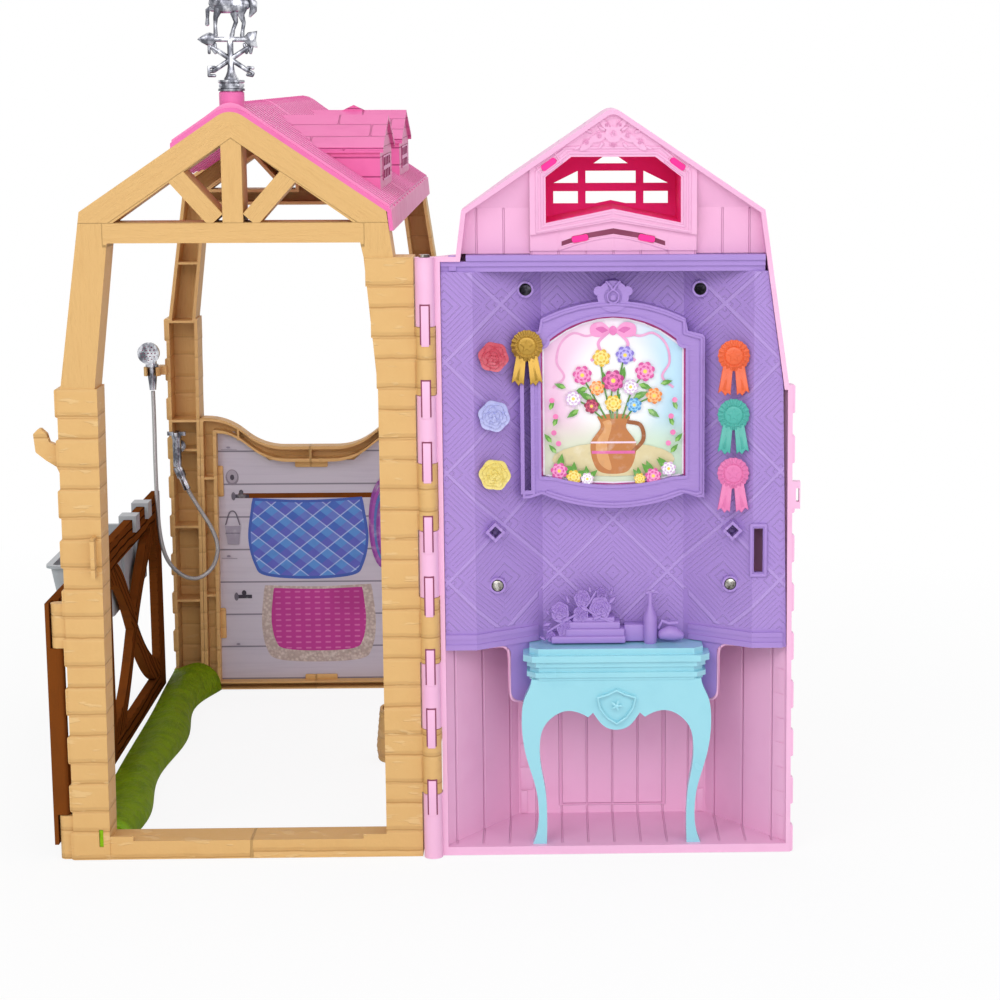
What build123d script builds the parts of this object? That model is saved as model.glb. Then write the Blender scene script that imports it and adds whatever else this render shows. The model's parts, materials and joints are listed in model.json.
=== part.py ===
from build123d import *

import os
from math import acos, hypot, sqrt, tan

os.makedirs("parts", exist_ok=True)

# A folding toy stable. X runs across the barn, Y into it, Z up; the origin is the middle of the
# front sill's underside. Depths are measured from the front face of the front frame.
# All lengths are millimetres.

# ---- frame mouldings ----------------------------------------------------------------------
FRAME_DEPTH = 22.0       # front to back of one gable frame
FRAME_GAP = 353.0        # clear space between the two frames
SKIN = 2.4               # face skin of the hollow mouldings
WALL = 2.2               # their side walls
RIB = 1.6                # cross ribs in the open channels
FIT = 0.2                # gap where one piece drops into another
RUN = 0.4                # gap between pieces that move past each other
PIN_RUN = 0.05           # radial play of a pin in its bore

PEAK_Z = 415.0
PEAK_RADIUS = 8.0        # of the facade's peak
GABLE_RADIUS = 12.0      # of the gable frames' peaks and the roof's ridge
KNEE_Z = 360.0
KNEE_HALF = 81.7
STONE_Z = 265.0          # where the stone leg becomes a wooden post
STONE_FOOT_HALF = 98.8
STONE_TOP_HALF = 97.5
POST_HALF = 95.4
OPEN_FOOT_HALF = 78.6    # doorway half width at the floor
OPEN_TOP_HALF = 75.7     # and at the top of the stone
POST_INNER_HALF = 77.0
COLLAR_Z = 343.3         # underside of the collar tie
COLLAR_HEIGHT = 10.9
COLLAR_HALF = 67.5       # doorway half width at the collar tie
TRUSS_HALF = 63.8        # truss opening half width on top of the collar tie
INNER_PEAK_Z = 399.0
KING_POST = 11.0
STRUT = 9.75
STRUT_FOOT = (9.0, 355.5)
STRUT_HEAD = (31.0, 380.0)
SILL_HEIGHT = 10.6
SILL_STEP = 2.6          # the sill steps up where it meets the legs
SILL_STEP_LENGTH = 13.0

HINGE_LEG_HALF = 95.7    # the leg beside the hinge is stone to its top and square outside
HINGE_LEG_INNER = 75.5
HINGE_LEG_Z = 335.3
HINGE_LEG_TOP_INNER = 69.2
HINGE_POST_HALF = 85.0

COURSE_TALL = 15.6       # tall stones stand proud, short ones lie back
COURSE_SHORT = 12.1
COURSE_PROUD = 0.5
COURSE_BULGE = 1.4

# ---- folding hinge ------------------------------------------------------------------------
HINGE_X = 101.7
KNUCKLE_RADIUS = 5.25
KNUCKLE_COUNT = 9
PIN_RADIUS = 1.6
PIN_FLOOR = 2.0          # solid bottom of the lowest knuckle
RIM_GAP = 0.9            # how far the door's rim lies behind the hinge's centre plane

# ---- rear wall ----------------------------------------------------------------------------
WALL_FRAME_DEPTH = 12.0
RAIL = 11.0              # width of the wall frame's members
SHOULDER_Z = 195.5
SADDLE_Z = 175.0
SHOULDER_HALF = 57.5
SADDLE_HALF = 33.5
CARD_DEPTH = 8.0         # card face behind the wall frame's front edge
CARD = 1.2
LEDGE = 2.0
CLIP_LENGTH = 14.0

# ---- roof ---------------------------------------------------------------------------------
ROOF = 2.2
SKIRT = 8.6
LEFT_SLOPE_HALF = 32.0
LOW_SLOPE_HALF = 65.5
LOW_SLOPE_TOP_HALF = 26.0
BATTEN = 2.0
BATTEN_PROUD = 0.7
BATTEN_PITCH = 24.8
RIDGE_HALF = 9.0         # the battens stop short of the rounded ridge
DORMER_X = 74.7          # front face of the dormers
DORMER_HALF = 49.0
DORMER_EAVE_Z = 390.5
DORMER_PEAK_Z = 407.0
DORMER_WALL = 1.8
DORMER_ROOF = 1.6
DORMER_EAVE = 2.0        # overhang of a dormer's roof
DORMER_DEPTHS = (111.0, 286.0)
DORMER_START = 12.0      # how far out from the ridge the dormers are cut to
DORMER_SILL_Z = 372.5
DORMER_WINDOW = (56.0, 14.0)
CREST = (17.0, 4.0)       # width and height of the rear dormer's small crest
CREST_BACK = 32.0        # how far behind the dormer's face it stands
EAVE = 2.8               # how far the roof runs out beyond the knee

# ---- weather vane -------------------------------------------------------------------------
VANE_DEPTH = FRAME_DEPTH / 2
PEDESTAL_RADIUS = 6.7
PEDESTAL_Z = 423.3
COLLAR_RING_RADIUS = 6.2
COLLAR_RING_HEIGHT = 5.8
VANE_THICKNESS = 2.6
SPINDLE_RADIUS = 1.5
SPINDLE_DEPTH = 4.0
CROSS_Z = 440.0
CROSS_REACH = (9.1, 6.0)
ARROW_Z = 450.4
ARROW_TIP = -17.3
ARROW_TAIL = 14.0

# ---- facade door --------------------------------------------------------------------------
BAY_DEPTH = 65.0
BAY_BACK_HALF = 56.0
BAY_RIM = 6.0            # straight band behind the rim before the walls slant in
SHELL = 2.6
BAY_FLOOR = 4.8
LINING = 1.8             # lining beside the hayloft window: boards, then a soffit leaning forward
LINING_HALF = 44.0
LINING_DEPTH = 10.0
LINING_FOOT_Z = 336.3
SOFFIT_Z = 361.0
SOFFIT_TOP = (3.5, 390.0)
DOOR_X = 2 * HINGE_X     # middle of the facade when it stands open
FACADE_INNER_EDGE = 96.1 # hinge-side edge, from the middle of the facade
SURROUND_HALF = 45.0
SURROUND_DEPTH = 4.0
SURROUND = 2.4
LOW_PLATE_Z = 338.0
SURROUND_LAP = 3.0       # the two plates of the surround overlap by this much
ROSETTE_Z = 400.0
CREST_PROUD = 1.0
FLANGE = 6.5
TOP_TAB = (34.6, 384.4)
LOW_TAB = (18.0, 344.6)
TAB = (9.0, 3.4)
TAB_PROUD = 1.0
RELIEF = 1.2
RELIEF_BAR = 5.0
RELIEF_HALF = 33.0
RELIEF_LEVELS = ((6.0, 92.0), (96.0, 182.0))
LEAN = 16.0
LOOP_X = (97.4, 102.2)
LOOP_Z = (196.5, 211.6)
SURROUND_Z = 346.5
SURROUND_PEAK = 7.5
WINDOW_HALF = 36.4
WINDOW_SILL_Z = 353.0
WINDOW_SILL_PEAK = 7.5
WINDOW_SHOULDER_Z = 377.6
WINDOW_TOP_HALF = 22.5
WINDOW_TOP_Z = 388.3
WINDOW_WALL = 1.6
LATTICE_BAR = 3.6
PANE_HALF = 14.1         # the middle panes; the side panes run between the next two
PANE_SIDES = (18.4, 32.2)
PANE_LOW_Z = (360.4, 367.2)
PANE_HIGH_Z = (371.7, 378.5)
PANE_TOP = (9.7, 382.6, 389.2)   # half width, bottom and point of the top pane

# ---- purple wall inside the facade --------------------------------------------------------
FLAT_DEPTH = 2.9         # the outer flats lie just behind the rim
RECESS_DEPTH = 28.0      # and the middle lies deep
FLAT_HALF = 76.3
RECESS_HALF = 39.5
PANEL = 2.6
PANEL_TOP_Z = 327.0
PANEL_FOOT_Z = 118.0
PANEL_DROP_Z = 84.5
PANEL_DROP_HALF = 57.7
CORNICE_HEIGHT = 9.0
SOCKET_HALF = 65.3       # sockets stand in a column at each side
SOCKET_TOP_Z = 281.0
SOCKET_PITCH = 32.4
SOCKET_FACE = 3.7
SOCKET_RADIUS = 5.6      # half diagonal of the diamond boss
SOCKET_HOLE = 3.5        # half diagonal of its hole
LATCH_X = 80.4
LATCH_Z = (162.0, 184.0)
LATCH = 2.2
LATCH_REACH = 8.0
LATCH_ROOM = 1.4
SOCKET_DEPTH = 12.0
SLOT_RIM = 0.8
DROP_RADIUS = 6.0
MOULDING_STEPS = ((1.6, 0.0, 3.0), (0.9, 3.0, 6.0), (1.5, 6.0, 8.6))   # proud, bottom and top
MOULDING_HALF = 42.0     # the moulding stops behind the shelf in the middle
CORNICE_FRONT = 1.7
SCREWS = ((64.5, 153.0, 8.0), (47.9, 316.0, 19.0))     # across, up and depth of the boss face
BOSS_RADIUS = 4.5
BOSS_LENGTH = 10.0
SCREW_SINK = 1.8
SCREW_SHANK = 1.2
PICTURE_FRAME_DEPTH = 14.5
PICTURE_HALF = 39.8
PICTURE_DEPTH = 18.0
PICTURE_LOW_Z = 213.0
PICTURE_HIGH_Z = 284.0
PICTURE_TOP_Z = 301.5
PICTURE_FOOT_Z = 208.0
PICTURE_STEP = 5.0       # the picture's corners are notched by this much
PICTURE_CARD = 1.0
PICTURE_REBATE = 1.6
FRAME_HALF = 50.2
FRAME_STEP_HALF = 39.5
FRAME_SIDE_Z = (201.0, 291.5)
FRAME_STEP_Z = 300.4
FRAME_TOP_Z = 310.0
FRAME_FOOT_Z = 195.3
FRAME_SKIN = 2.6
FRAME_WALL = 2.0
HORSESHOE_Z = 312.5
HORSESHOE = (8.6, 5.0)   # outer and inner radius
SLIDER_X = -47.3
SLIDER_TOP_Z = 285.8
SLIDER_TRAVEL = 76.0
SLOT = 3.6
SLOT_WALL = 2.1
KEEPER = (4.9, 8.0, 1.8)
ROSETTE_RADIUS = 8.8
ROSETTE = 3.0
ROSE_RADIUS = 8.4
ROSE = 4.2
PETALS = 7
TAIL_LENGTH = 22.0
TAIL_SPREAD = 8.6
TAIL = 1.8
PEG_LENGTH = 8.0
SCREW_RADIUS = 3.0
SHELF_Z = 118.2
SHELF_THINGS = (         # depth of the front; across, up, width, height and corner of each shape
    (15.0, ((-14.0, 0.0, 44.0, 4.2, 0), (12.0, 0.0, 42.0, 1.4, 0))),
    (16.4, ((-10.0, 4.0, 33.0, 5.2, 0), (-7.0, 9.0, 26.0, 2.2, 0))),
    (14.6, ((22.2, 1.2, 8.0, 18.0, 1.6), (22.2, 19.0, 3.6, 4.4, 0), (23.6, 23.2, 7.6, 2.8, 1.2))),
    (17.0, ((35.0, 1.0, 12.0, 7.6, 3.4), (11.6, 1.2, 10.0, 5.6, 1.0))))
POSY_DEPTH = 14.0
POSY = ((-17.0, 16.0, 5.4), (-25.0, 12.4, 5.0), (-8.6, 13.6, 5.2), (-1.6, 18.2, 3.4), (-30.6, 7.0, 4.2),
        (-13.0, 21.6, 3.0))

# ---- vanity table -------------------------------------------------------------------------
TABLE_X = 1.1            # its middle, from the middle of the facade
TABLE_SLICES = (         # bottom, top, half width and front depth of the table top's mouldings
    (114.0, 117.5, 48.4, 4.6), (110.4, 114.0, 51.9, 1.7), (107.2, 110.4, 49.8, 3.6),
    (104.2, 107.2, 48.2, 4.8), (101.4, 104.2, 49.9, 3.2), (99.6, 101.4, 48.4, 4.4))
TABLE_CHAMFER = 5.0
APRON_HALF = 47.3
APRON_DEPTH = 5.0
APRON = 2.4
APRON_TOP_Z = 100.0
LEG_DEPTH = 8.6
SHIELD_Z = (73.8, 94.5)
SHIELD_SIDE = ((11.2, 15.1), (9.6, 9.8), (6.6, 5.0), (3.4, 1.6))    # across, and up from its point
LEG_OUTSIDE = ((-47.3, 100.0), (-48.8, 94.5), (-51.2, 89.3), (-52.9, 79.0), (-52.4, 66.0), (-49.6, 52.0),
               (-45.6, 38.4), (-43.8, 23.6), (-44.8, 12.0), (-47.2, 4.8))
LEG_INSIDE = ((-39.4, 4.8), (-39.2, 12.0), (-39.2, 23.5), (-40.3, 38.1), (-42.3, 49.2), (-43.0, 61.9),
              (-41.3, 71.2), (-36.3, 77.9), (-27.3, 81.9), (-20.5, 80.6), (-15.9, 78.1))
APRON_DIP = ((-13.0, 80.7), (-9.4, 75.4), (-5.2, 71.9), (0.0, 70.8))

# ---- gate and trough ----------------------------------------------------------------------
GATE_PIVOT = (-103.3, 5.5)
GATE_ROD_RADIUS = 2.75
GATE_FACE = 5.5          # thickness of the gate
GATE_OFFSET = 1.0        # gate's inner face beyond the pivot
GATE_START = 3.0
GATE_END = 364.0
GATE_LOW_Z = 8.0
GATE_TOP_Z = 146.0
STILE = 22.0
MID_STILE_DEPTH = 150.0
TOP_RAIL = 17.0
LOW_RAIL = 13.0
BRACE = 15.0
BRACKET_RADIUS = 3.5
BRACKET_LENGTH = 25.0
PINTLE_RADIUS = 1.6
PINTLE_LENGTH = 8.0
TROUGH_DEPTHS = (212.0, 354.0)
TROUGH_RIM_Z = 124.5
TROUGH_HEIGHT = 35.0
TROUGH_SIDES = (-153.3, -111.9)
TROUGH_TAPER = 8.0
TROUGH_LIP = 2.4
TROUGH_WALL = 1.8
TROUGH_HOOKS = (259.0, 307.0)
HOOK_WIDTH = 14.0
HOOK = 2.4
HOOK_LIP_Z = 138.0

# ---- wash set -----------------------------------------------------------------------------
HOSE_RADIUS = 1.4
TAP = (-91.0, 176.0)     # across and up, on the rear leg
SHOWER_X = -106.5
SHOWER_Z = 242.5
SHOWER_RADIUS = 7.4
HANDLE_RADIUS = 3.2
HANDLE_FOOT_Z = 216.7
SHOWER_DEPTH = 366.0
SHOWER_BRACKET = 6.0
SHOWER_BRACKET_Z = 226.6

TAP_DEPTH = 364.0
HOSE_JOINT = (-91.0, 163.0)      # across and up, at the spout's mouth
HOSE = (                 # across, depth and height of the hose's corners, from shower to coupling
    (-106.5, 366.0, 215.7), (-105.0, 358.0, 196.7), (-103.4, 346.0, 172.0), (-101.6, 336.0, 146.0),
    (-99.6, 331.0, 117.0), (-94.2, 335.0, 97.7), (-80.4, 345.0, 85.2), (-68.0, 354.0, 90.7),
    (-63.0, 358.0, 105.8), (-67.9, 360.0, 120.1), (-77.0, 362.0, 134.0), (-84.6, 363.6, 147.0))

# ---- floor pieces -------------------------------------------------------------------------
BASKET_PLACE = (65.6, 199.0)
BASKET_SECTIONS = ((0.0, 8.6, 14.0), (8.0, 9.6, 15.0), (33.0, 7.2, 12.4))    # height and half widths
BASKET_WALL = 1.6

# ---- places worked out from the sizes -----------------------------------------------------
FRONT = -FRAME_DEPTH / 2
REAR = FRAME_DEPTH + FRAME_GAP                 # depth of the rear frame's open side
BACK = REAR + FRAME_DEPTH
SLOPE = (PEAK_Z - KNEE_Z) / KNEE_HALF
KNUCKLE = HINGE_LEG_Z / KNUCKLE_COUNT


def upright(depth):
    """Plane facing the front, at this depth behind the front face."""
    return Plane.XZ.offset(-(FRONT + depth))


def mirrored(points):
    """The same points on the other side of the middle, in reverse order."""
    return [(-x, z) for x, z in reversed(points)]


def finish(piece, name):
    """Label one finished piece and write its file."""
    piece.part.label = name
    export_step(piece.part, f"parts/{name}.step")


# ---- profiles -----------------------------------------------------------------------------

def post_outside():
    """Outer edge of a wooden-topped leg, from the floor to the knee."""
    return [(STONE_FOOT_HALF, 0), (STONE_TOP_HALF, STONE_Z), (POST_HALF, STONE_Z), (KNEE_HALF, KNEE_Z)]


def post_inside():
    """Doorway edge of a wooden-topped leg, from the sill to the collar tie."""
    return [(OPEN_FOOT_HALF, SILL_HEIGHT), (OPEN_TOP_HALF, STONE_Z), (POST_INNER_HALF, STONE_Z),
            (COLLAR_HALF, COLLAR_Z)]


def hinge_outside():
    """Outer edge of the square leg beside the hinge."""
    return [(HINGE_LEG_HALF, 0), (HINGE_LEG_HALF, HINGE_LEG_Z), (HINGE_POST_HALF, HINGE_LEG_Z),
            (KNEE_HALF, KNEE_Z)]


def hinge_inside():
    """Doorway edge of the leg beside the hinge."""
    return [(HINGE_LEG_INNER, SILL_HEIGHT), (HINGE_LEG_INNER, STONE_Z),
            (HINGE_LEG_TOP_INNER, HINGE_LEG_Z), (COLLAR_HALF, COLLAR_Z)]


def strut_outline():
    """One slanting strut of the truss, run on into the members it joins."""
    run = STRUT_HEAD[0] - STRUT_FOOT[0]
    rise = STRUT_HEAD[1] - STRUT_FOOT[1]
    length = hypot(run, rise)
    side = (STRUT / 2 * rise / length, -STRUT / 2 * run / length)
    ends = (STRUT_FOOT, STRUT_HEAD)
    near = [(x + side[0], z + side[1]) for x, z in ends]
    far = [(x - side[0], z - side[1]) for x, z in reversed(ends)]
    return near + far


def draw_gable(outside, inside, sill):
    """Face of a whole gable frame: legs, rafters, collar tie, struts and, if wanted, its sill."""
    with BuildSketch() as face:
        Polygon(*mirrored(post_outside())[::-1], (0, PEAK_Z), *outside[::-1], align=None)
        fillet(face.vertices().sort_by(Axis.Y)[-1], GABLE_RADIUS)
        Polygon(*mirrored(post_inside())[::-1], *inside[::-1], align=None, mode=Mode.SUBTRACT)
        if not sill:
            with Locations((0, 0)):
                Rectangle(2 * OPEN_FOOT_HALF, 2 * SILL_HEIGHT + FIT, mode=Mode.SUBTRACT)
        collar_top = COLLAR_Z + COLLAR_HEIGHT
        Polygon((-TRUSS_HALF, collar_top), (0, INNER_PEAK_Z), (TRUSS_HALF, collar_top), align=None,
                mode=Mode.SUBTRACT)
        with Locations((0, (collar_top + INNER_PEAK_Z) / 2)):
            Rectangle(KING_POST, INNER_PEAK_Z - collar_top + WALL)
        Polygon(*strut_outline(), align=None)
        Polygon(*mirrored(strut_outline()), align=None)
    return face.sketch


def stone_courses(top):
    """Bottom and top of each tall stone, counted down from the top of the stone."""
    courses = []
    high = top
    while high > COURSE_TALL / 2:
        courses.append((max(high - COURSE_TALL, 0), high))
        high -= COURSE_TALL + COURSE_SHORT
    return courses


def between(points, z):
    """How far out an edge given by its points lies at one height."""
    for (x0, z0), (x1, z1) in zip(points, points[1:]):
        if z0 <= z <= z1 and z1 > z0:
            return x0 + (x1 - x0) * (z - z0) / (z1 - z0)
    return points[0][0] if z < points[0][1] else points[-1][0]


RIBS = (COLLAR_Z - 40, STONE_Z - WALL, SHOULDER_Z - WALL, SADDLE_Z - WALL, 118.0, 65.0)


def frame_body(face, rear):
    """A hollow frame moulding: the rear one is open towards the front, the front one behind."""
    start = REAR if rear else 0
    open_start = REAR if rear else SKIN
    with BuildPart() as body:
        with BuildSketch(upright(start)):
            add(face)
        extrude(amount=-FRAME_DEPTH)
        with BuildSketch(upright(open_start)):
            add(face)
            offset(amount=-WALL, kind=Kind.INTERSECTION)
            for z in RIBS:
                with Locations((0, z)):
                    Rectangle(4 * STONE_FOOT_HALF, RIB, mode=Mode.SUBTRACT)
        extrude(amount=-(FRAME_DEPTH - SKIN), mode=Mode.SUBTRACT)
    return body.part


def stones(side, outside, inside, top, face_depth, back_depth, bulge):
    """Proud stones of one leg: a thin plate on the face and a bulge down the outer edge."""
    with BuildPart() as courses:
        for low, high in stone_courses(top):
            level = (low + high) / 2
            outer = between(outside, level)
            inner = between(inside, level)
            with BuildSketch(upright(face_depth)) as plate:
                with Locations((side * (outer + inner) / 2, level)):
                    Rectangle(outer - inner, high - low)
            extrude(amount=-COURSE_PROUD)
            if bulge:
                with BuildSketch(upright(min(face_depth, back_depth) + COURSE_PROUD)) as bump:
                    with Locations((side * outer, level)):
                        RectangleRounded(2 * bulge, high - low, bulge * 0.8)
                extrude(amount=-abs(back_depth - face_depth) + COURSE_PROUD)
    return courses.part


# ---- barn body ----------------------------------------------------------------------------

def knuckle_levels(first):
    """Bottom and top of every second knuckle, with room to turn between neighbours."""
    levels = []
    for number in range(first, KNUCKLE_COUNT, 2):
        low = number * KNUCKLE + (RUN / 2 if number else 0)
        high = (number + 1) * KNUCKLE - (RUN / 2 if number < KNUCKLE_COUNT - 1 else 0)
        levels.append((low, high))
    return levels


def knuckles(first, reach, near, far):
    """Hinge knuckles with the webs that carry them: reach is where the web meets the moulding."""
    with BuildPart() as row:
        for low, high in knuckle_levels(first):
            with BuildSketch(Plane.XY.offset(low)):
                with Locations((HINGE_X, FRONT)):
                    Circle(KNUCKLE_RADIUS)
                with Locations(((HINGE_X + reach) / 2, FRONT + (near + far) / 2)):
                    Rectangle(abs(HINGE_X - reach), far - near)
            extrude(amount=high - low)
        with BuildSketch(Plane.XY.offset(PIN_FLOOR)):
            with Locations((HINGE_X, FRONT)):
                Circle(PIN_RADIUS + PIN_RUN)
        extrude(amount=HINGE_LEG_Z, mode=Mode.SUBTRACT)
    return row.part


def gate_bracket(low):
    """A round knuckle outside the left leg that takes one pintle of the gate."""
    x, depth = GATE_PIVOT
    leg = between(post_outside(), low)
    with BuildPart() as bracket:
        with BuildSketch(Plane.XY.offset(low)):
            with Locations((x, FRONT + depth)):
                Circle(BRACKET_RADIUS)
            with Locations(((x - leg) / 2, FRONT + depth)):
                Rectangle(-leg - x + WALL, 2 * BRACKET_RADIUS)
        extrude(amount=BRACKET_LENGTH)
    return bracket.part


GRASS_SLOT = (-83.3, 12.4, 2.4, 10.0)      # across, up, width and height of the grass tab's slot


def front_frame():
    """Front gable frame: truss, legs, sill, hinge knuckles, gate brackets, hook and latch tab."""
    face = draw_gable(hinge_outside(), hinge_inside(), True)
    gate_top = GATE_TOP_Z - BRACKET_LENGTH
    with BuildPart() as frame:
        add(frame_body(face, False))
        add(stones(-1, post_outside(), post_inside(), STONE_Z, -COURSE_PROUD, FRAME_DEPTH, COURSE_BULGE))
        add(stones(1, hinge_outside(), hinge_inside(), HINGE_LEG_Z, -COURSE_PROUD, FRAME_DEPTH, 0))
        for side in (-1, 1):
            inner = between(post_inside() if side < 0 else hinge_inside(), SILL_HEIGHT)
            with BuildSketch(upright(0)):
                with Locations((side * (inner - SILL_STEP_LENGTH / 2), SILL_HEIGHT)):
                    Rectangle(SILL_STEP_LENGTH, 2 * SILL_STEP)
            extrude(amount=-SKIN)
        add(knuckles(1, HINGE_LEG_HALF, 0, KNUCKLE_RADIUS))
        add(gate_bracket(gate_top))
        add(gate_bracket(0))
        for low in (gate_top, BRACKET_LENGTH - PINTLE_LENGTH):
            with BuildSketch(Plane.XY.offset(low)):
                with Locations((GATE_PIVOT[0], FRONT + GATE_PIVOT[1])):
                    Circle(PINTLE_RADIUS + PIN_RUN)
            extrude(amount=PINTLE_LENGTH, mode=Mode.SUBTRACT)
        with BuildSketch(upright(4)) as hook:
            with BuildLine():
                Polyline((-96.5, 232.5), (-103.5, 235.5), (-104.8, 240), (-108.5, 243.5), (-112, 240),
                         (-111, 230), (-105.5, 225.5), (-100, 222), (-96.5, 214), close=True)
            make_face()
            fillet(hook.vertices().sort_by(Axis.X)[:4], 1.4)
        extrude(amount=-5)
        with BuildSketch(upright(-LATCH_REACH)):
            with Locations((-LATCH_X, sum(LATCH_Z) / 2)):
                Rectangle(LATCH, LATCH_Z[1] - LATCH_Z[0])
        extrude(amount=-(LATCH_REACH + SKIN))
        with BuildSketch(upright(-COURSE_PROUD)):
            with Locations(GRASS_SLOT[:2]):
                Rectangle(*GRASS_SLOT[2:])
        extrude(amount=-(COURSE_PROUD + SKIN), mode=Mode.SUBTRACT)
    return frame


def rear_frame():
    """Rear gable frame, open towards the front, with the shower bracket on its left leg."""
    face = draw_gable(post_outside(), post_inside(), False)
    with BuildPart() as frame:
        add(frame_body(face, True))
        for side in (-1, 1):
            add(stones(side, post_outside(), post_inside(), STONE_Z, BACK, REAR, COURSE_BULGE))
        with BuildSketch(Plane.XY.offset(SHOWER_BRACKET_Z)):
            with Locations((SHOWER_X, FRONT + SHOWER_DEPTH)):
                Circle(HANDLE_RADIUS + RUN + WALL)
                Circle(HANDLE_RADIUS + RUN, mode=Mode.SUBTRACT)
                with Locations((0, -HANDLE_RADIUS - WALL)):
                    Rectangle(2 * HANDLE_RADIUS, 2 * HANDLE_RADIUS, mode=Mode.SUBTRACT)
            with Locations((-(POST_HALF + 5), FRONT + REAR)):
                Rectangle(6, 10)
        extrude(amount=SHOWER_BRACKET)
    return frame


def wall_outline(inset):
    """Outline of the rear wall, drawn in from its edge: legs, shoulders and the saddle."""
    foot = OPEN_FOOT_HALF - FIT - inset
    lean = (OPEN_FOOT_HALF - OPEN_TOP_HALF) * SHOULDER_Z / STONE_Z
    low = inset / 2 if inset else 0
    half = [(foot, low), (foot - lean, SHOULDER_Z - inset), (SHOULDER_HALF - inset / 3, SHOULDER_Z - inset),
            (SADDLE_HALF - inset / 3, SADDLE_Z - inset)]
    return half + mirrored(half)


def wall_frame():
    """Tan frame of the rear wall: a channel ring with a saddle top, a ledge and four clips."""
    with BuildPart() as frame:
        with BuildSketch(upright(REAR)):
            Polygon(*wall_outline(0), align=None)
            Polygon(*wall_outline(RAIL), align=None, mode=Mode.SUBTRACT)
        extrude(amount=-WALL_FRAME_DEPTH)
        with BuildSketch(upright(REAR)):
            Polygon(*wall_outline(WALL), align=None)
            Polygon(*wall_outline(RAIL - WALL), align=None, mode=Mode.SUBTRACT)
            for z in (SHOULDER_Z * 0.35, SHOULDER_Z * 0.78):
                with Locations((0, z)):
                    Rectangle(2 * OPEN_FOOT_HALF, RIB, mode=Mode.SUBTRACT)
            for x in (-50, 0, 50):
                with Locations((x, SADDLE_Z)):
                    Rectangle(RIB, 2 * RAIL * 2, mode=Mode.SUBTRACT)
        extrude(amount=-(WALL_FRAME_DEPTH - SKIN), mode=Mode.SUBTRACT)
        with BuildSketch(upright(REAR + CARD_DEPTH + CARD)):
            Polygon(*wall_outline(RAIL), align=None)
            Polygon(*wall_outline(RAIL + LEDGE), align=None, mode=Mode.SUBTRACT)
        extrude(amount=-(WALL_FRAME_DEPTH - CARD_DEPTH - CARD))
        inner = OPEN_FOOT_HALF - FIT - RAIL
        with BuildSketch(upright(REAR + CARD_DEPTH - SKIN)):
            with Locations((-inner, 40), (-inner, 150), (inner, 40), (inner, 150)):
                Rectangle(2 * LEDGE + WALL, CLIP_LENGTH)
        extrude(amount=-SKIN)
    return frame


def wall_card():
    """The printed card that fills the rear wall."""
    with BuildPart() as card:
        with BuildSketch(upright(REAR + CARD_DEPTH)):
            Polygon(*wall_outline(RAIL), align=None)
        extrude(amount=-CARD)
    return card


GRASS_SECTIONS = (       # depth, left edge, right edge and height of the bank of grass
    (24.0, -97.5, -71.0, 13.0), (60.0, -98.3, -70.5, 13.0), (107.0, -99.5, -72.0, 12.0),
    (165.0, -100.5, -77.0, 12.0), (237.0, -100.5, -72.0, 13.0), (300.0, -100.5, -77.5, 15.0),
    (345.0, -100.5, -75.5, 18.0), (374.6, -100.3, -67.0, 20.0))


def grass():
    """A low bank of grass that ties the left legs together at the floor."""
    with BuildPart() as bank:
        for depth, left, right, height in GRASS_SECTIONS:
            with BuildSketch(upright(depth)):
                with BuildLine():
                    Line((left, 0), (right, 0))
                    Spline((right, 0), (right - (right - left) * 0.2, height * 0.8),
                           ((left + right) / 2, height), (left + (right - left) * 0.1, height * 0.8),
                           (left, 0), tangents=((0, 1), (0, -1)))
                make_face()
        loft()
        x, z, width, height = GRASS_SLOT
        with BuildSketch(upright(COURSE_PROUD)):
            with Locations((x, z - FIT)):
                Rectangle(width - 2 * FIT, height - 2 * FIT)
        extrude(amount=-(GRASS_SECTIONS[0][0] + SKIN))
    return bank


def side_sill():
    """Floor rail between the right legs, in stone blocks like the front sill."""
    outer = HINGE_LEG_HALF
    inner = HINGE_LEG_INNER
    block = FRAME_GAP / 12
    with BuildPart() as rail:
        with BuildSketch(upright(FRAME_DEPTH)):
            with Locations(((outer + inner) / 2, SILL_HEIGHT / 2)):
                Rectangle(outer - inner, SILL_HEIGHT)
        extrude(amount=-FRAME_GAP)
        with BuildSketch(Plane.XY):
            with Locations(((outer + inner) / 2, FRONT + FRAME_DEPTH + FRAME_GAP / 2)):
                Rectangle(outer - inner - 2 * WALL, FRAME_GAP - 2 * WALL)
                with GridLocations(0, FRAME_GAP / 4, 1, 3):
                    Rectangle(outer - inner, RIB, mode=Mode.SUBTRACT)
        extrude(amount=SILL_HEIGHT - SKIN, mode=Mode.SUBTRACT)
        for number in range(1, 12):
            with Locations((inner, FRONT + FRAME_DEPTH + number * block, SILL_HEIGHT)):
                Box(2 * (outer - inner), 0.6, 0.8, mode=Mode.SUBTRACT)
    return rail


def basket():
    """A woven feed basket that stands beside the right rail."""
    x, depth = BASKET_PLACE
    with BuildPart() as tub:
        for thin, mode in ((0, Mode.ADD), (BASKET_WALL, Mode.SUBTRACT)):
            for (low, a0, b0), (high, a1, b1) in zip(BASKET_SECTIONS, BASKET_SECTIONS[1:]):
                for level, wide, deep in ((max(low, thin), a0, b0), (high, a1, b1)):
                    with BuildSketch(Plane.XY.offset(level)):
                        with Locations((x, FRONT + depth)):
                            Ellipse(wide - thin, deep - thin)
                loft(mode=mode)
    return tub


# ---- roof and weather vane ----------------------------------------------------------------

ROOF_RISE = ROOF * sqrt(1 + SLOPE ** 2)      # thickness of the sheet measured straight up


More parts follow.
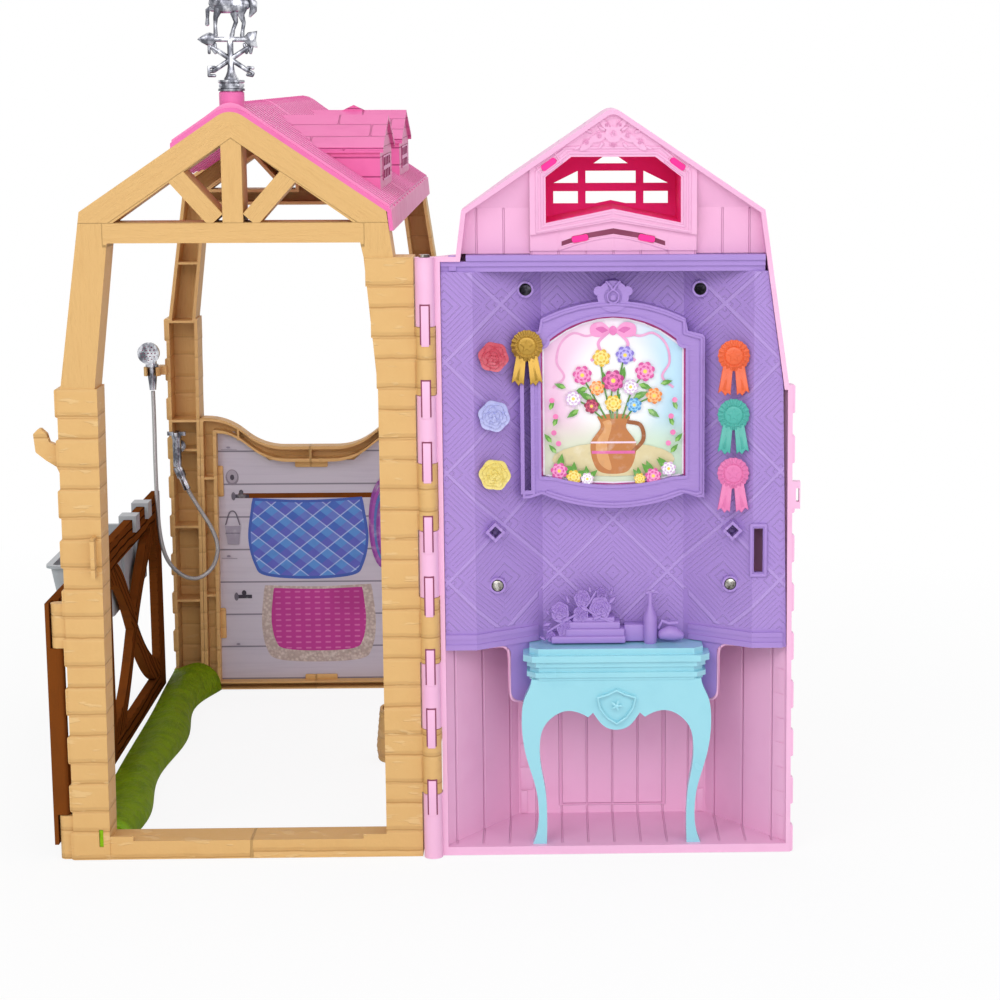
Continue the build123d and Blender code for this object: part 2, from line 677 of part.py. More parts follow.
def slope_band(near, far, low, high):
    """Band along the roof's slope between two distances from the middle, in height above it."""
    side = 1 if far > near else -1
    return [(x, PEAK_Z - SLOPE * side * x + lift) for x, lift in
            ((near, low), (far, low), (far, high), (near, high))]


def above_roof():
    """Everything under the top of the roof sheet, to be cut away from what stands on it."""
    reach = 2 * KNEE_HALF
    ridge = PEAK_Z + ROOF_RISE
    with BuildPart() as under:
        with BuildSketch(upright(-FRAME_DEPTH)) as gable:
            Polygon((0, ridge), (reach, ridge - SLOPE * reach), (-reach, ridge - SLOPE * reach), align=None)
            fillet(gable.vertices().sort_by(Axis.Y)[-1], GABLE_RADIUS + ROOF)
        extrude(amount=-(BACK + 2 * FRAME_DEPTH))
    return under.part


def roof():
    """Planked roof: right slope with its skirt, short left slope and the lower left panel."""
    eave = KNEE_HALF + EAVE
    drop = PEAK_Z - SLOPE * eave
    with BuildPart() as sheet:
        with BuildSketch(upright(0)) as slopes:
            Polygon(*slope_band(0, eave, 0, ROOF_RISE), align=None)
            Polygon(*slope_band(0, -LEFT_SLOPE_HALF, 0, ROOF_RISE), align=None)
            fillet(slopes.vertices().filter_by_position(Axis.X, -FIT, FIT).sort_by(Axis.Y)[0], GABLE_RADIUS)
            fillet(slopes.vertices().filter_by_position(Axis.X, -FIT, FIT).sort_by(Axis.Y)[-1],
                   GABLE_RADIUS + ROOF)
            Polygon((eave - ROOF, drop), (KNEE_HALF + 1.6, drop - SKIRT), (KNEE_HALF + 3.8, drop - SKIRT),
                    (eave, drop + ROOF_RISE), (eave - ROOF, drop + ROOF_RISE), align=None)
        extrude(amount=-BACK)
        with BuildSketch(upright(FRAME_DEPTH)):
            Polygon(*slope_band(-LOW_SLOPE_TOP_HALF, -LOW_SLOPE_HALF, -ROOF_RISE, 0), align=None)
        extrude(amount=-FRAME_GAP)
        for number in range(int(FRAME_GAP / BATTEN_PITCH)):
            depth = FRAME_DEPTH + (number + 0.5) * BATTEN_PITCH
            under = [abs(depth - place) < DORMER_HALF + DORMER_EAVE + BATTEN for place in DORMER_DEPTHS]
            start = DORMER_X + DORMER_EAVE if any(under) else RIDGE_HALF
            with BuildSketch(upright(depth)):
                Polygon(*slope_band(start, eave, ROOF_RISE, ROOF_RISE + BATTEN_PROUD), align=None)
                Polygon(*slope_band(-RIDGE_HALF, -LEFT_SLOPE_HALF, ROOF_RISE, ROOF_RISE + BATTEN_PROUD),
                        align=None)
                Polygon(*slope_band(-LOW_SLOPE_TOP_HALF, -LOW_SLOPE_HALF, -ROOF_RISE - BATTEN_PROUD,
                                    -ROOF_RISE), align=None)
            extrude(amount=-BATTEN)
    return sheet


def crosswise(x):
    """Plane facing right at this X; sketches on it are drawn in depth and height."""
    return Plane(origin=(x, FRONT, 0), x_dir=(0, 1, 0), z_dir=(1, 0, 0))


def dormer_outline(depth, grow):
    """Gabled outline of a dormer, grown outwards along the walls and the slopes."""
    foot = PEAK_Z - SLOPE * DORMER_X - 10
    return [(depth - DORMER_HALF - grow, foot), (depth - DORMER_HALF - grow, DORMER_EAVE_Z + grow * 0.7),
            (depth, DORMER_PEAK_Z + grow), (depth + DORMER_HALF + grow, DORMER_EAVE_Z + grow * 0.7),
            (depth + DORMER_HALF + grow, foot)]


def dormer(depth, crested):
    """One dormer: a hollow gabled box with a window opening and a thin roof that overhangs."""
    length = DORMER_X - DORMER_START
    with BuildPart() as house:
        with BuildSketch(crosswise(DORMER_START)):
            Polygon(*dormer_outline(depth, 0), align=None)
        extrude(amount=length)
        with BuildSketch(crosswise(DORMER_START)):
            Polygon(*dormer_outline(depth, DORMER_EAVE), align=None)
            Polygon(*dormer_outline(depth, -0.1), align=None, mode=Mode.SUBTRACT)
            with Locations((depth, DORMER_EAVE_Z - 20 - DORMER_ROOF)):
                Rectangle(4 * DORMER_HALF, 40, mode=Mode.SUBTRACT)
        extrude(amount=length + DORMER_EAVE)
        with BuildSketch(crosswise(DORMER_START)):
            Polygon(*dormer_outline(depth, -DORMER_WALL), align=None)
        extrude(amount=length - DORMER_WALL, mode=Mode.SUBTRACT)
        with BuildSketch(crosswise(DORMER_START)):
            with Locations((depth, DORMER_SILL_Z + DORMER_WINDOW[1] / 2)):
                Rectangle(*DORMER_WINDOW)
        extrude(amount=length, mode=Mode.SUBTRACT)
        if crested:
            with BuildSketch(upright(depth - DORMER_ROOF)):
                base = DORMER_PEAK_Z + DORMER_EAVE - DORMER_ROOF / 2
                middle = DORMER_X - CREST_BACK
                half = CREST[0] / 2
                Polygon((middle - half, base), (middle + half, base), (middle, base + CREST[1]), align=None)
            extrude(amount=-2 * DORMER_ROOF)
        add(above_roof(), mode=Mode.SUBTRACT)
    return house


def dormer_window(depth):
    """Lattice that fills a dormer's window."""
    wide, high = DORMER_WINDOW
    with BuildPart() as lattice:
        with BuildSketch(crosswise(DORMER_X - DORMER_WALL)):
            with Locations((depth, DORMER_SILL_Z + high / 2)):
                Rectangle(wide - FIT, high - FIT)
                with GridLocations(wide / 4, high / 2, 4, 2):
                    Rectangle(wide / 4 - LATTICE_BAR * 0.6, high / 2 - LATTICE_BAR * 0.6, mode=Mode.SUBTRACT)
        extrude(amount=DORMER_WALL + 0.6)
    return lattice


def pedestal():
    """Round base of the weather vane, cut to sit astride the ridge."""
    with BuildPart() as base:
        with BuildSketch(Plane.XY.offset(PEAK_Z - 6)):
            with Locations((0, FRONT + VANE_DEPTH)):
                Circle(PEDESTAL_RADIUS)
        extrude(amount=PEDESTAL_Z - PEAK_Z + 6)
        chamfer(base.edges().filter_by(GeomType.CIRCLE).sort_by(Axis.Z)[-1], 0.8)
        add(above_roof(), mode=Mode.SUBTRACT)
        with BuildSketch(Plane.XY.offset(PEDESTAL_Z - SPINDLE_DEPTH)):
            with Locations((0, FRONT + VANE_DEPTH)):
                Circle(SPINDLE_RADIUS + PIN_RUN)
        extrude(amount=SPINDLE_DEPTH, mode=Mode.SUBTRACT)
    return base


def collar():
    """Plated ring on the pedestal, notched at one side."""
    with BuildPart() as ring:
        with BuildSketch(Plane.XY.offset(PEDESTAL_Z)):
            with Locations((0, FRONT + VANE_DEPTH)):
                Circle(COLLAR_RING_RADIUS)
                Circle(SPINDLE_RADIUS + PIN_RUN, mode=Mode.SUBTRACT)
        extrude(amount=COLLAR_RING_HEIGHT)
        with Locations((COLLAR_RING_RADIUS, FRONT + VANE_DEPTH, PEDESTAL_Z + COLLAR_RING_HEIGHT / 2)):
            Box(3, 3, COLLAR_RING_HEIGHT / 2, mode=Mode.SUBTRACT)
        fillet(ring.edges().filter_by(GeomType.CIRCLE).sort_by(SortBy.RADIUS)[-1], 0.9)
    return ring


HORSE = (                # outline of the trotting horse on the vane, looking left
    (-12.6, 452.4), (-10.6, 452.4), (-11.2, 456.4), (-9.6, 460.2), (-6.6, 462.6), (-7.4, 457.0),
    (-8.6, 451.4), (-5.8, 451.4), (-4.8, 457.4), (-3.0, 463.4), (1.2, 463.8), (0.0, 458.6), (-0.6, 451.4),
    (2.2, 451.4), (3.6, 457.8), (5.4, 461.4), (5.6, 456.6), (4.6, 451.4), (7.4, 451.4), (8.4, 457.4),
    (8.2, 463.2), (9.6, 461.4), (11.0, 456.6), (13.0, 456.0), (12.6, 462.4), (11.4, 468.4), (8.6, 472.2),
    (3.0, 473.2), (-2.6, 473.4), (-3.4, 480.2), (-5.2, 485.8), (-8.0, 488.8), (-8.6, 491.0), (-10.0, 488.6),
    (-13.2, 485.2), (-16.4, 481.2), (-15.6, 479.0), (-12.6, 479.8), (-10.6, 480.0), (-9.8, 474.6),
    (-10.4, 468.8), (-11.8, 463.6), (-13.4, 457.4))


def weather_vane():
    """The turning vane: flared foot, post, cross, arrow and horse in one flat moulding."""
    foot = PEDESTAL_Z + COLLAR_RING_HEIGHT + RUN
    across, up = CROSS_REACH
    with BuildPart() as vane:
        with BuildSketch(Plane.XY.offset(PEDESTAL_Z - SPINDLE_DEPTH + RUN)):
            with Locations((0, FRONT + VANE_DEPTH)):
                Circle(SPINDLE_RADIUS)
        extrude(amount=foot - PEDESTAL_Z + SPINDLE_DEPTH)
        with BuildSketch(Plane.XY.offset(foot)):
            with Locations((0, FRONT + VANE_DEPTH)):
                Circle(4.4)
        with BuildSketch(Plane.XY.offset(foot + 4.2)):
            with Locations((0, FRONT + VANE_DEPTH)):
                Circle(1.9)
        loft()
        with BuildSketch(upright(VANE_DEPTH - VANE_THICKNESS / 2)):
            with Locations((0, (foot + ARROW_Z) / 2 + 2)):
                Rectangle(3.2, ARROW_Z - foot)
            for side in (-1, 1):
                with Locations(Location((0, CROSS_Z, 0), side * 33.7)):
                    Rectangle(2 * hypot(across, up) - 3, 2.2)
                for end in (-1, 1):
                    with Locations((side * across, CROSS_Z + end * up)):
                        Circle(2.5)
            with Locations((0, ARROW_Z)):
                Rectangle(20, 2.6)
            Polygon((ARROW_TIP, ARROW_Z), (-9.4, ARROW_Z + 4), (-9.4, ARROW_Z - 4), align=None)
            Polygon((8.6, ARROW_Z - 1), (10.4, ARROW_Z - 3.4), (ARROW_TAIL, ARROW_Z - 3.4),
                    (ARROW_TAIL - 1.8, ARROW_Z), (ARROW_TAIL, ARROW_Z + 3.4), (10.4, ARROW_Z + 3.4),
                    (8.6, ARROW_Z + 1), align=None)
            with BuildLine():
                Polyline(*HORSE, close=True)
            make_face()
        extrude(amount=-VANE_THICKNESS)
    return vane


def hinge_pin():
    """Long pin through all the knuckles, with a low domed head."""
    with BuildPart() as pin:
        with BuildSketch(Plane.XY.offset(PIN_FLOOR + FIT)):
            with Locations((HINGE_X, FRONT)):
                Circle(PIN_RADIUS)
        extrude(amount=HINGE_LEG_Z - PIN_FLOOR)
        with BuildSketch(Plane.XY.offset(HINGE_LEG_Z + FIT)):
            with Locations((HINGE_X, FRONT)):
                Circle(2 * PIN_RADIUS)
        extrude(amount=1.2, taper=25)
    return pin


# ---- facade door --------------------------------------------------------------------------

def door(depth):
    """Plane facing the front in the facade, drawn from its own middle."""
    return Plane(origin=(DOOR_X, FRONT + depth, 0), x_dir=(1, 0, 0), z_dir=(0, -1, 0))


def door_level(z):
    """Level plane in the facade, drawn in distance from its middle and depth."""
    return Plane(origin=(DOOR_X, FRONT, z), x_dir=(1, 0, 0), z_dir=(0, 0, 1))


def bay_plan(open_front):
    """Plan of the facade: a straight rim, then walls that slant in to a narrower back."""
    return [(-FACADE_INNER_EDGE, open_front), (-FACADE_INNER_EDGE, BAY_RIM), (-BAY_BACK_HALF, BAY_DEPTH),
            (BAY_BACK_HALF, BAY_DEPTH), (STONE_FOOT_HALF, BAY_RIM), (STONE_FOOT_HALF, open_front)]


def door_elevation():
    """Outline of the facade seen from the front."""
    return [(-FACADE_INNER_EDGE, 0), (-FACADE_INNER_EDGE, HINGE_LEG_Z), (-HINGE_POST_HALF, HINGE_LEG_Z),
            (-KNEE_HALF, KNEE_Z), (0, PEAK_Z), (KNEE_HALF, KNEE_Z), (POST_HALF, STONE_Z),
            (STONE_TOP_HALF, STONE_Z), (STONE_FOOT_HALF, 0)]


def inner_elevation(inset):
    """The facade's outline drawn in, closed by the bay's floor."""
    with BuildSketch() as face:
        Polygon(*door_elevation(), align=None)
        fillet(face.vertices().sort_by(Axis.Y)[-1], PEAK_RADIUS)
        offset(amount=-inset, kind=Kind.INTERSECTION)
        with Locations((0, 0)):
            Rectangle(4 * STONE_FOOT_HALF, 2 * BAY_FLOOR, mode=Mode.SUBTRACT)
    return face.sketch


def window_opening(grow):
    """Outline of the hayloft window, with its floor raised in the middle."""
    half = [(WINDOW_HALF, WINDOW_SILL_Z), (WINDOW_HALF, WINDOW_SHOULDER_Z), (WINDOW_TOP_HALF, WINDOW_TOP_Z)]
    with BuildSketch() as face:
        Polygon(*half, *mirrored(half), (0, WINDOW_SILL_Z + WINDOW_SILL_PEAK), align=None)
        if grow:
            offset(amount=grow, kind=Kind.INTERSECTION)
    return face.sketch


def tab_places():
    """Where the hayloft window's four snap tabs come through, and how they lean."""
    return [Location((side * x, z, 0), side * lean) for side in (-1, 1)
            for x, z, lean in ((TOP_TAB[0], TOP_TAB[1], -36), (LOW_TAB[0], LOW_TAB[1], -10))]


def tabs(grow):
    """The four snap tabs as seen from the front."""
    with BuildSketch() as face:
        with Locations(*tab_places()):
            RectangleRounded(TAB[0] + 2 * grow, TAB[1] + 2 * grow, TAB[1] * 0.4)
    return face.sketch


def screw_posts():
    """Posts that carry the purple wall's screws, run on past the bay's walls."""
    with BuildPart() as posts:
        for x, z, face in SCREWS:
            with BuildSketch(door(face + BOSS_LENGTH)):
                with Locations((x, z), (-x, z)):
                    Circle(BOSS_RADIUS)
                    Circle(SCREW_SHANK + PIN_RUN, mode=Mode.SUBTRACT)
            extrude(amount=-BAY_DEPTH)
    return posts.part


def bay_space():
    """The space inside the facade, with its screw posts left standing."""
    with BuildPart() as space:
        with BuildSketch(door_level(0)):
            Polygon(*bay_plan(-4 * SHELL), align=None)
            offset(amount=-SHELL, kind=Kind.INTERSECTION)
        extrude(amount=PEAK_Z)
        with BuildSketch(door(-5 * SHELL)):
            add(inner_elevation(SHELL))
        extrude(amount=-2 * BAY_DEPTH, mode=Mode.INTERSECT)
        add(screw_posts(), mode=Mode.SUBTRACT)
    return space.part


def door_relief():
    """Raised framing of the stable doors on the outside of the facade."""
    wide = RELIEF_HALF
    with BuildSketch() as face:
        for side in (-1, 1):
            for low, high in RELIEF_LEVELS:
                with Locations((side * (wide / 2 + 0.6), (low + high) / 2)):
                    Rectangle(wide - 1.2, high - low)
                    Rectangle(wide - 1.2 - 2 * RELIEF_BAR, high - low - 2 * RELIEF_BAR, mode=Mode.SUBTRACT)
                run = wide - 2 * RELIEF_BAR
                rise = high - low - 2 * RELIEF_BAR
                with Locations(Location((side * (wide / 2 + 0.6), (low + high) / 2, 0), LEAN)):
                    Rectangle(RELIEF_BAR * 0.8, hypot(run, rise) - RELIEF_BAR)
                with Locations(Location((side * (wide / 2 + 0.6), (low + high) / 2, 0), -LEAN)):
                    Rectangle(RELIEF_BAR * 0.8, hypot(run, rise) - RELIEF_BAR)
    return face.sketch


def gable_lining():
    """Wall beside the hayloft window, between the cornice and the slopes."""
    depth, top = SOFFIT_TOP
    with BuildPart() as lining:
        with BuildSketch(crosswise(DOOR_X - STONE_FOOT_HALF)):
            Polygon((LINING_DEPTH, LINING_FOOT_Z), (LINING_DEPTH, SOFFIT_Z), (depth, top),
                    (depth + LINING, top), (LINING_DEPTH + LINING, SOFFIT_Z),
                    (LINING_DEPTH + LINING, LINING_FOOT_Z), align=None)
        extrude(amount=2 * STONE_FOOT_HALF)
        with BuildSketch(door(0)):
            add(inner_elevation(SHELL / 2))
            with Locations((0, PEAK_Z)):
                Rectangle(2 * LINING_HALF, PEAK_Z, mode=Mode.SUBTRACT)
        extrude(amount=-BAY_DEPTH, mode=Mode.INTERSECT)
    return lining.part


def facade_shell():
    """Pink shell of the facade: a slant-walled bay with knuckles, window surround and loop."""
    with BuildPart() as shell:
        with BuildSketch(door_level(0)):
            Polygon(*bay_plan(RIM_GAP), align=None)
        extrude(amount=PEAK_Z)
        with BuildSketch(door(-BAY_RIM)) as front:
            Polygon(*door_elevation(), align=None)
            fillet(front.vertices().sort_by(Axis.Y)[-1], PEAK_RADIUS)
        extrude(amount=-2 * BAY_DEPTH, mode=Mode.INTERSECT)
        add(bay_space(), mode=Mode.SUBTRACT)
        add(gable_lining())
        with BuildSketch(door(SURROUND_DEPTH)):
            add(inner_elevation(SHELL / 2))
            Polygon((-SURROUND_HALF, PEAK_Z), (-SURROUND_HALF, SURROUND_Z), (0, SURROUND_Z + SURROUND_PEAK),
                    (SURROUND_HALF, SURROUND_Z), (SURROUND_HALF, PEAK_Z), align=None, mode=Mode.INTERSECT)
            add(window_opening(0), mode=Mode.SUBTRACT)
            add(tabs(FIT), mode=Mode.SUBTRACT)
        extrude(amount=-SURROUND)
        with BuildSketch(door(SURROUND_DEPTH + SURROUND)):
            add(inner_elevation(SHELL / 2))
            Polygon((-SURROUND_HALF, LOW_PLATE_Z), (SURROUND_HALF, LOW_PLATE_Z),
                    (SURROUND_HALF, SURROUND_Z + SURROUND_LAP),
                    (0, SURROUND_Z + SURROUND_PEAK + SURROUND_LAP),
                    (-SURROUND_HALF, SURROUND_Z + SURROUND_LAP), align=None, mode=Mode.INTERSECT)
            add(tabs(FIT), mode=Mode.SUBTRACT)
        extrude(amount=-SURROUND)
        with BuildSketch(door(SURROUND_DEPTH - CREST_PROUD)):
            with Locations((0, ROSETTE_Z)):
                Circle(4.4)
            for side in (-1, 1):
                with Locations(Location((side * 8.2, ROSETTE_Z - 1.6, 0), -side * 20)):
                    Ellipse(4.6, 2.2)
                with Locations(Location((side * 14, ROSETTE_Z - 5.4, 0), -side * 38)):
                    Ellipse(4.6, 1.7)
                with Locations(Location((side * 4.6, ROSETTE_Z + 5.4, 0), side * 50)):
                    Ellipse(3.6, 1.6)
        extrude(amount=-CREST_PROUD)
        with BuildSketch(door(BAY_DEPTH - SHELL - 1)):
            add(window_opening(WINDOW_WALL + FIT))
        extrude(amount=-2 * SHELL - 1, mode=Mode.SUBTRACT)
        with BuildSketch(door(BAY_DEPTH)):
            add(door_relief())
        extrude(amount=-RELIEF)
        add(knuckles(0, DOOR_X - FACADE_INNER_EDGE + SHELL, RIM_GAP, KNUCKLE_RADIUS))
        for low, high in stone_courses(STONE_Z):
            level = (low + high) / 2
            with BuildSketch(door(RIM_GAP + COURSE_PROUD)):
                with Locations((between(post_outside(), level), level)):
                    RectangleRounded(2 * COURSE_BULGE, high - low, COURSE_BULGE * 0.8)
            extrude(amount=-(BAY_RIM - RIM_GAP - COURSE_PROUD))
        with BuildSketch(door(RIM_GAP)):
            with Locations(((LOOP_X[0] + LOOP_X[1]) / 2, (LOOP_Z[0] + LOOP_Z[1]) / 2)):
                Rectangle(LOOP_X[1] - LOOP_X[0], LOOP_Z[1] - LOOP_Z[0])
                with Locations((0.9, 0)):
                    Rectangle(1.8, (LOOP_Z[1] - LOOP_Z[0]) / 2, mode=Mode.SUBTRACT)
        extrude(amount=-(BAY_RIM - RIM_GAP))
    return shell


def hayloft_window():
    """Magenta window moulding: a tunnel with a lattice at its far end, a flange and four tabs."""
    start = SURROUND_DEPTH + 2 * SURROUND + FIT
    with BuildPart() as window:
        with BuildSketch(door(SURROUND_DEPTH + SURROUND + FIT)):
            add(window_opening(WINDOW_WALL))
            add(window_opening(0), mode=Mode.SUBTRACT)
        extrude(amount=-(BAY_DEPTH - SURROUND_DEPTH - SURROUND - FIT))
        with BuildSketch(door(start)):
            add(window_opening(FLANGE))
            with Locations((-LOW_TAB[0], LOW_TAB[1] + 7), (LOW_TAB[0], LOW_TAB[1] + 7)):
                Rectangle(TAB[0] + 2, 20)
            add(inner_elevation(SHELL + FIT), mode=Mode.INTERSECT)
            add(window_opening(0), mode=Mode.SUBTRACT)
        extrude(amount=-WINDOW_WALL)
        with BuildSketch(door(start)) as heads:
            add(tabs(0))
        extrude(amount=SURROUND + FIT + TAB_PROUD)
        with BuildSketch(door(SURROUND_DEPTH + SURROUND)):
            with Locations(*[place for place in tab_places() if place.position.Y > SURROUND_Z + 9]):
                RectangleRounded(TAB[0], TAB[1], TAB[1] * 0.4)
        extrude(amount=SURROUND + TAB_PROUD)
        with BuildSketch(door(BAY_DEPTH - SHELL)):
            add(window_opening(WINDOW_WALL / 2))
            add(panes(), mode=Mode.SUBTRACT)
        extrude(amount=-SHELL)
    return window


def panes():
    """Open panes of the hayloft window: a row of three, a row under the slopes and one at the top."""
    near, far = PANE_SIDES
    with BuildSketch() as face:
        for low, high in (PANE_LOW_Z, PANE_HIGH_Z):
            with Locations((0, (low + high) / 2)):
                Rectangle(2 * PANE_HALF, high - low)
        with Locations(*[(side * (near + far) / 2, sum(PANE_LOW_Z) / 2) for side in (-1, 1)]):
            Rectangle(far - near, PANE_LOW_Z[1] - PANE_LOW_Z[0])
        low, high = PANE_HIGH_Z
        for side in (-1, 1):
            Polygon((side * near, low), (side * far, low), (side * near, high), align=None)
        half, foot, point = PANE_TOP
        Polygon((-half, foot), (half, foot), (0, point), align=None)
        add(window_opening(-WINDOW_WALL), mode=Mode.INTERSECT)
    return face.sketch


# ---- purple wall ----------------------------------------------------------------------------

def wall_line(shift, half):
    """Front line of the purple wall in plan, moved back by shift."""
    return [(-half, FLAT_DEPTH + shift), (-FLAT_HALF, FLAT_DEPTH + shift),
            (-RECESS_HALF, RECESS_DEPTH + shift), (RECESS_HALF, RECESS_DEPTH + shift),
            (FLAT_HALF, FLAT_DEPTH + shift), (half, FLAT_DEPTH + shift)]


def behind_wall():
    """Everything behind the purple wall's front, to be cut from what stands against it."""
    with BuildPart() as back:
        with BuildSketch(door_level(0)):
            Polygon(*wall_line(0, STONE_FOOT_HALF), (STONE_FOOT_HALF, BAY_DEPTH),
                    (-STONE_FOOT_HALF, BAY_DEPTH), align=None)
        extrude(amount=PEAK_Z)
    return back.part


def panel_edge(z):
    """Right edge of the purple wall, which follows the facade's."""
    return between(post_outside(), z) - SHELL - FIT


def panel_outline(inset):
    """Elevation of the purple wall: straight sides and a drop behind the table."""
    left = SHELL + FIT - FACADE_INNER_EDGE
    drop = PANEL_DROP_HALF
    with BuildSketch() as face:
        Polygon((left, PANEL_FOOT_Z), (left, PANEL_TOP_Z), (panel_edge(PANEL_TOP_Z), PANEL_TOP_Z),
                (panel_edge(STONE_Z + 1), STONE_Z), (panel_edge(PANEL_FOOT_Z), PANEL_FOOT_Z),
                (drop, PANEL_FOOT_Z), (drop, PANEL_DROP_Z), (-drop, PANEL_DROP_Z), (-drop, PANEL_FOOT_Z),
                align=None)
        corners = face.vertices().filter_by_position(Axis.X, -drop - 1, drop + 1)
        fillet(corners, DROP_RADIUS)
        if inset:
            offset(amount=-inset, kind=Kind.INTERSECTION)
    return face.sketch


def diamonds(radius):
    """The eight diamond sockets, four down each side."""
    with BuildSketch() as face:
        for row in range(4):
            for side in (-1, 1):
                with Locations(Location((side * SOCKET_HALF, SOCKET_TOP_Z - row * SOCKET_PITCH, 0), 45)):
                    Rectangle(radius * sqrt(2), radius * sqrt(2))
    return face.sketch


def wallpaper_panel():
    """Purple wall: folded panel with socket bosses, latch slot, screw bosses and foot moulding."""
    with BuildPart() as panel:
        with BuildSketch(door_level(0)):
            Polygon(*wall_line(0, STONE_FOOT_HALF), *wall_line(PANEL, STONE_FOOT_HALF)[::-1], align=None)
        extrude(amount=PEAK_Z)
        with BuildSketch(door(0)):
            add(panel_outline(0))
        extrude(amount=-BAY_DEPTH, mode=Mode.INTERSECT)
        add(foot_moulding())
        with BuildSketch(door(SOCKET_FACE)):
            add(diamonds(SOCKET_RADIUS))
        extrude(amount=-SOCKET_DEPTH)
        with BuildSketch(door(SOCKET_FACE)):
            add(diamonds(SOCKET_HOLE))
        extrude(amount=-(SOCKET_DEPTH - PANEL), mode=Mode.SUBTRACT)
        for x, z, face in SCREWS:
            with BuildSketch(door(face)):
                with Locations((x, z), (-x, z)):
                    Circle(BOSS_RADIUS)
            extrude(amount=-BOSS_LENGTH)
            with BuildSketch(door(face)):
                with Locations((x, z), (-x, z)):
                    Circle(SCREW_RADIUS + RUN)
            extrude(amount=-SCREW_SINK, mode=Mode.SUBTRACT)
            with BuildSketch(door(face)):
                with Locations((x, z), (-x, z)):
                    Circle(SCREW_SHANK + PIN_RUN)
            extrude(amount=-2 * BOSS_LENGTH, mode=Mode.SUBTRACT)
        middle = (LATCH_X - (LATCH_ROOM - 0.8) / 2 - 0.6, sum(LATCH_Z) / 2)
        with BuildSketch(door(FLAT_DEPTH - SLOT_RIM)):
            with Locations(middle):
                Rectangle(LATCH + 2 * LATCH_ROOM + 2 * SLOT_RIM, LATCH_Z[1] - LATCH_Z[0] + 2 * LATCH_ROOM + 2)
        extrude(amount=-(PANEL + SLOT_RIM))
        with BuildSketch(door(FLAT_DEPTH - SLOT_RIM)):
            with Locations(middle):
                Rectangle(LATCH + 2 * LATCH_ROOM, LATCH_Z[1] - LATCH_Z[0] + 2 * LATCH_ROOM)
        extrude(amount=-(BAY_RIM + PANEL), mode=Mode.SUBTRACT)
    return panel


def foot_moulding():
    """Stepped moulding along the foot of the purple wall."""
    with BuildPart() as band:
        for proud, low, high in MOULDING_STEPS:
            with BuildSketch(door_level(PANEL_FOOT_Z + low)):
                Polygon(*wall_line(-proud, FACADE_INNER_EDGE - SHELL - FIT),
                        *wall_line(PANEL / 2, FACADE_INNER_EDGE - SHELL - FIT)[::-1], align=None)
                Rectangle(2 * MOULDING_HALF, 4 * BAY_DEPTH, mode=Mode.SUBTRACT)
            extrude(amount=high - low)
    return band.part


def cornice():
    """Stepped cornice that caps the purple wall."""
    left = SHELL + FIT - FACADE_INNER_EDGE
    right = between(post_outside(), PANEL_TOP_Z + CORNICE_HEIGHT) - SHELL - 2 * FIT
    top = PANEL_TOP_Z + CORNICE_HEIGHT
    third = CORNICE_HEIGHT / 3
    front = CORNICE_FRONT
    back = RECESS_DEPTH + PANEL
    with BuildPart() as cap:
        with BuildSketch(Plane(origin=(DOOR_X + left, FRONT, 0), x_dir=(0, 1, 0), z_dir=(1, 0, 0))):
            Polygon((front, top), (front, top - third), (front + 1.4, top - third),
                    (front + 1.4, top - 2 * third), (front + 2.8, top - 2 * third),
                    (front + 2.8, PANEL_TOP_Z), (front + 2.8 + PANEL, PANEL_TOP_Z),
                    (front + 2.8 + PANEL, top - PANEL), (back, top - PANEL), (back, top), align=None)
        extrude(amount=right - left)
        with BuildSketch(door(0)):
            with Locations((left, top)):
                Rectangle(2 * (FACADE_INNER_EDGE - HINGE_POST_HALF + SHELL),
                          2 * (SHELL + FIT + top - HINGE_LEG_Z))
        extrude(amount=-BAY_DEPTH, mode=Mode.SUBTRACT)
        with BuildSketch(door_level(PANEL_TOP_Z)):
            Polygon(*bay_plan(-4 * SHELL), align=None)
            offset(amount=-SHELL - FIT, kind=Kind.INTERSECTION)
        extrude(amount=CORNICE_HEIGHT, mode=Mode.INTERSECT)
    return cap


def panel_screw(x, z, face):
    """One screw of the purple wall."""
    with BuildPart() as screw:
        with BuildSketch(door(face + RUN)):
            with Locations((x, z)):
                Circle(SCREW_RADIUS)
        extrude(amount=-(SCREW_SINK - RUN))
        with BuildSketch(door(face + SCREW_SINK)):
            with Locations((x, z)):
                Circle(SCREW_SHANK)
        extrude(amount=-BOSS_LENGTH)
        with BuildSketch(door(face + RUN)):
            for angle in (0, 90):
                with Locations(Location((x, z, 0), angle + 20)):
                    Rectangle(SCREW_RADIUS * 1.3, 0.8)
        extrude(amount=-0.7, mode=Mode.SUBTRACT)
    return screw


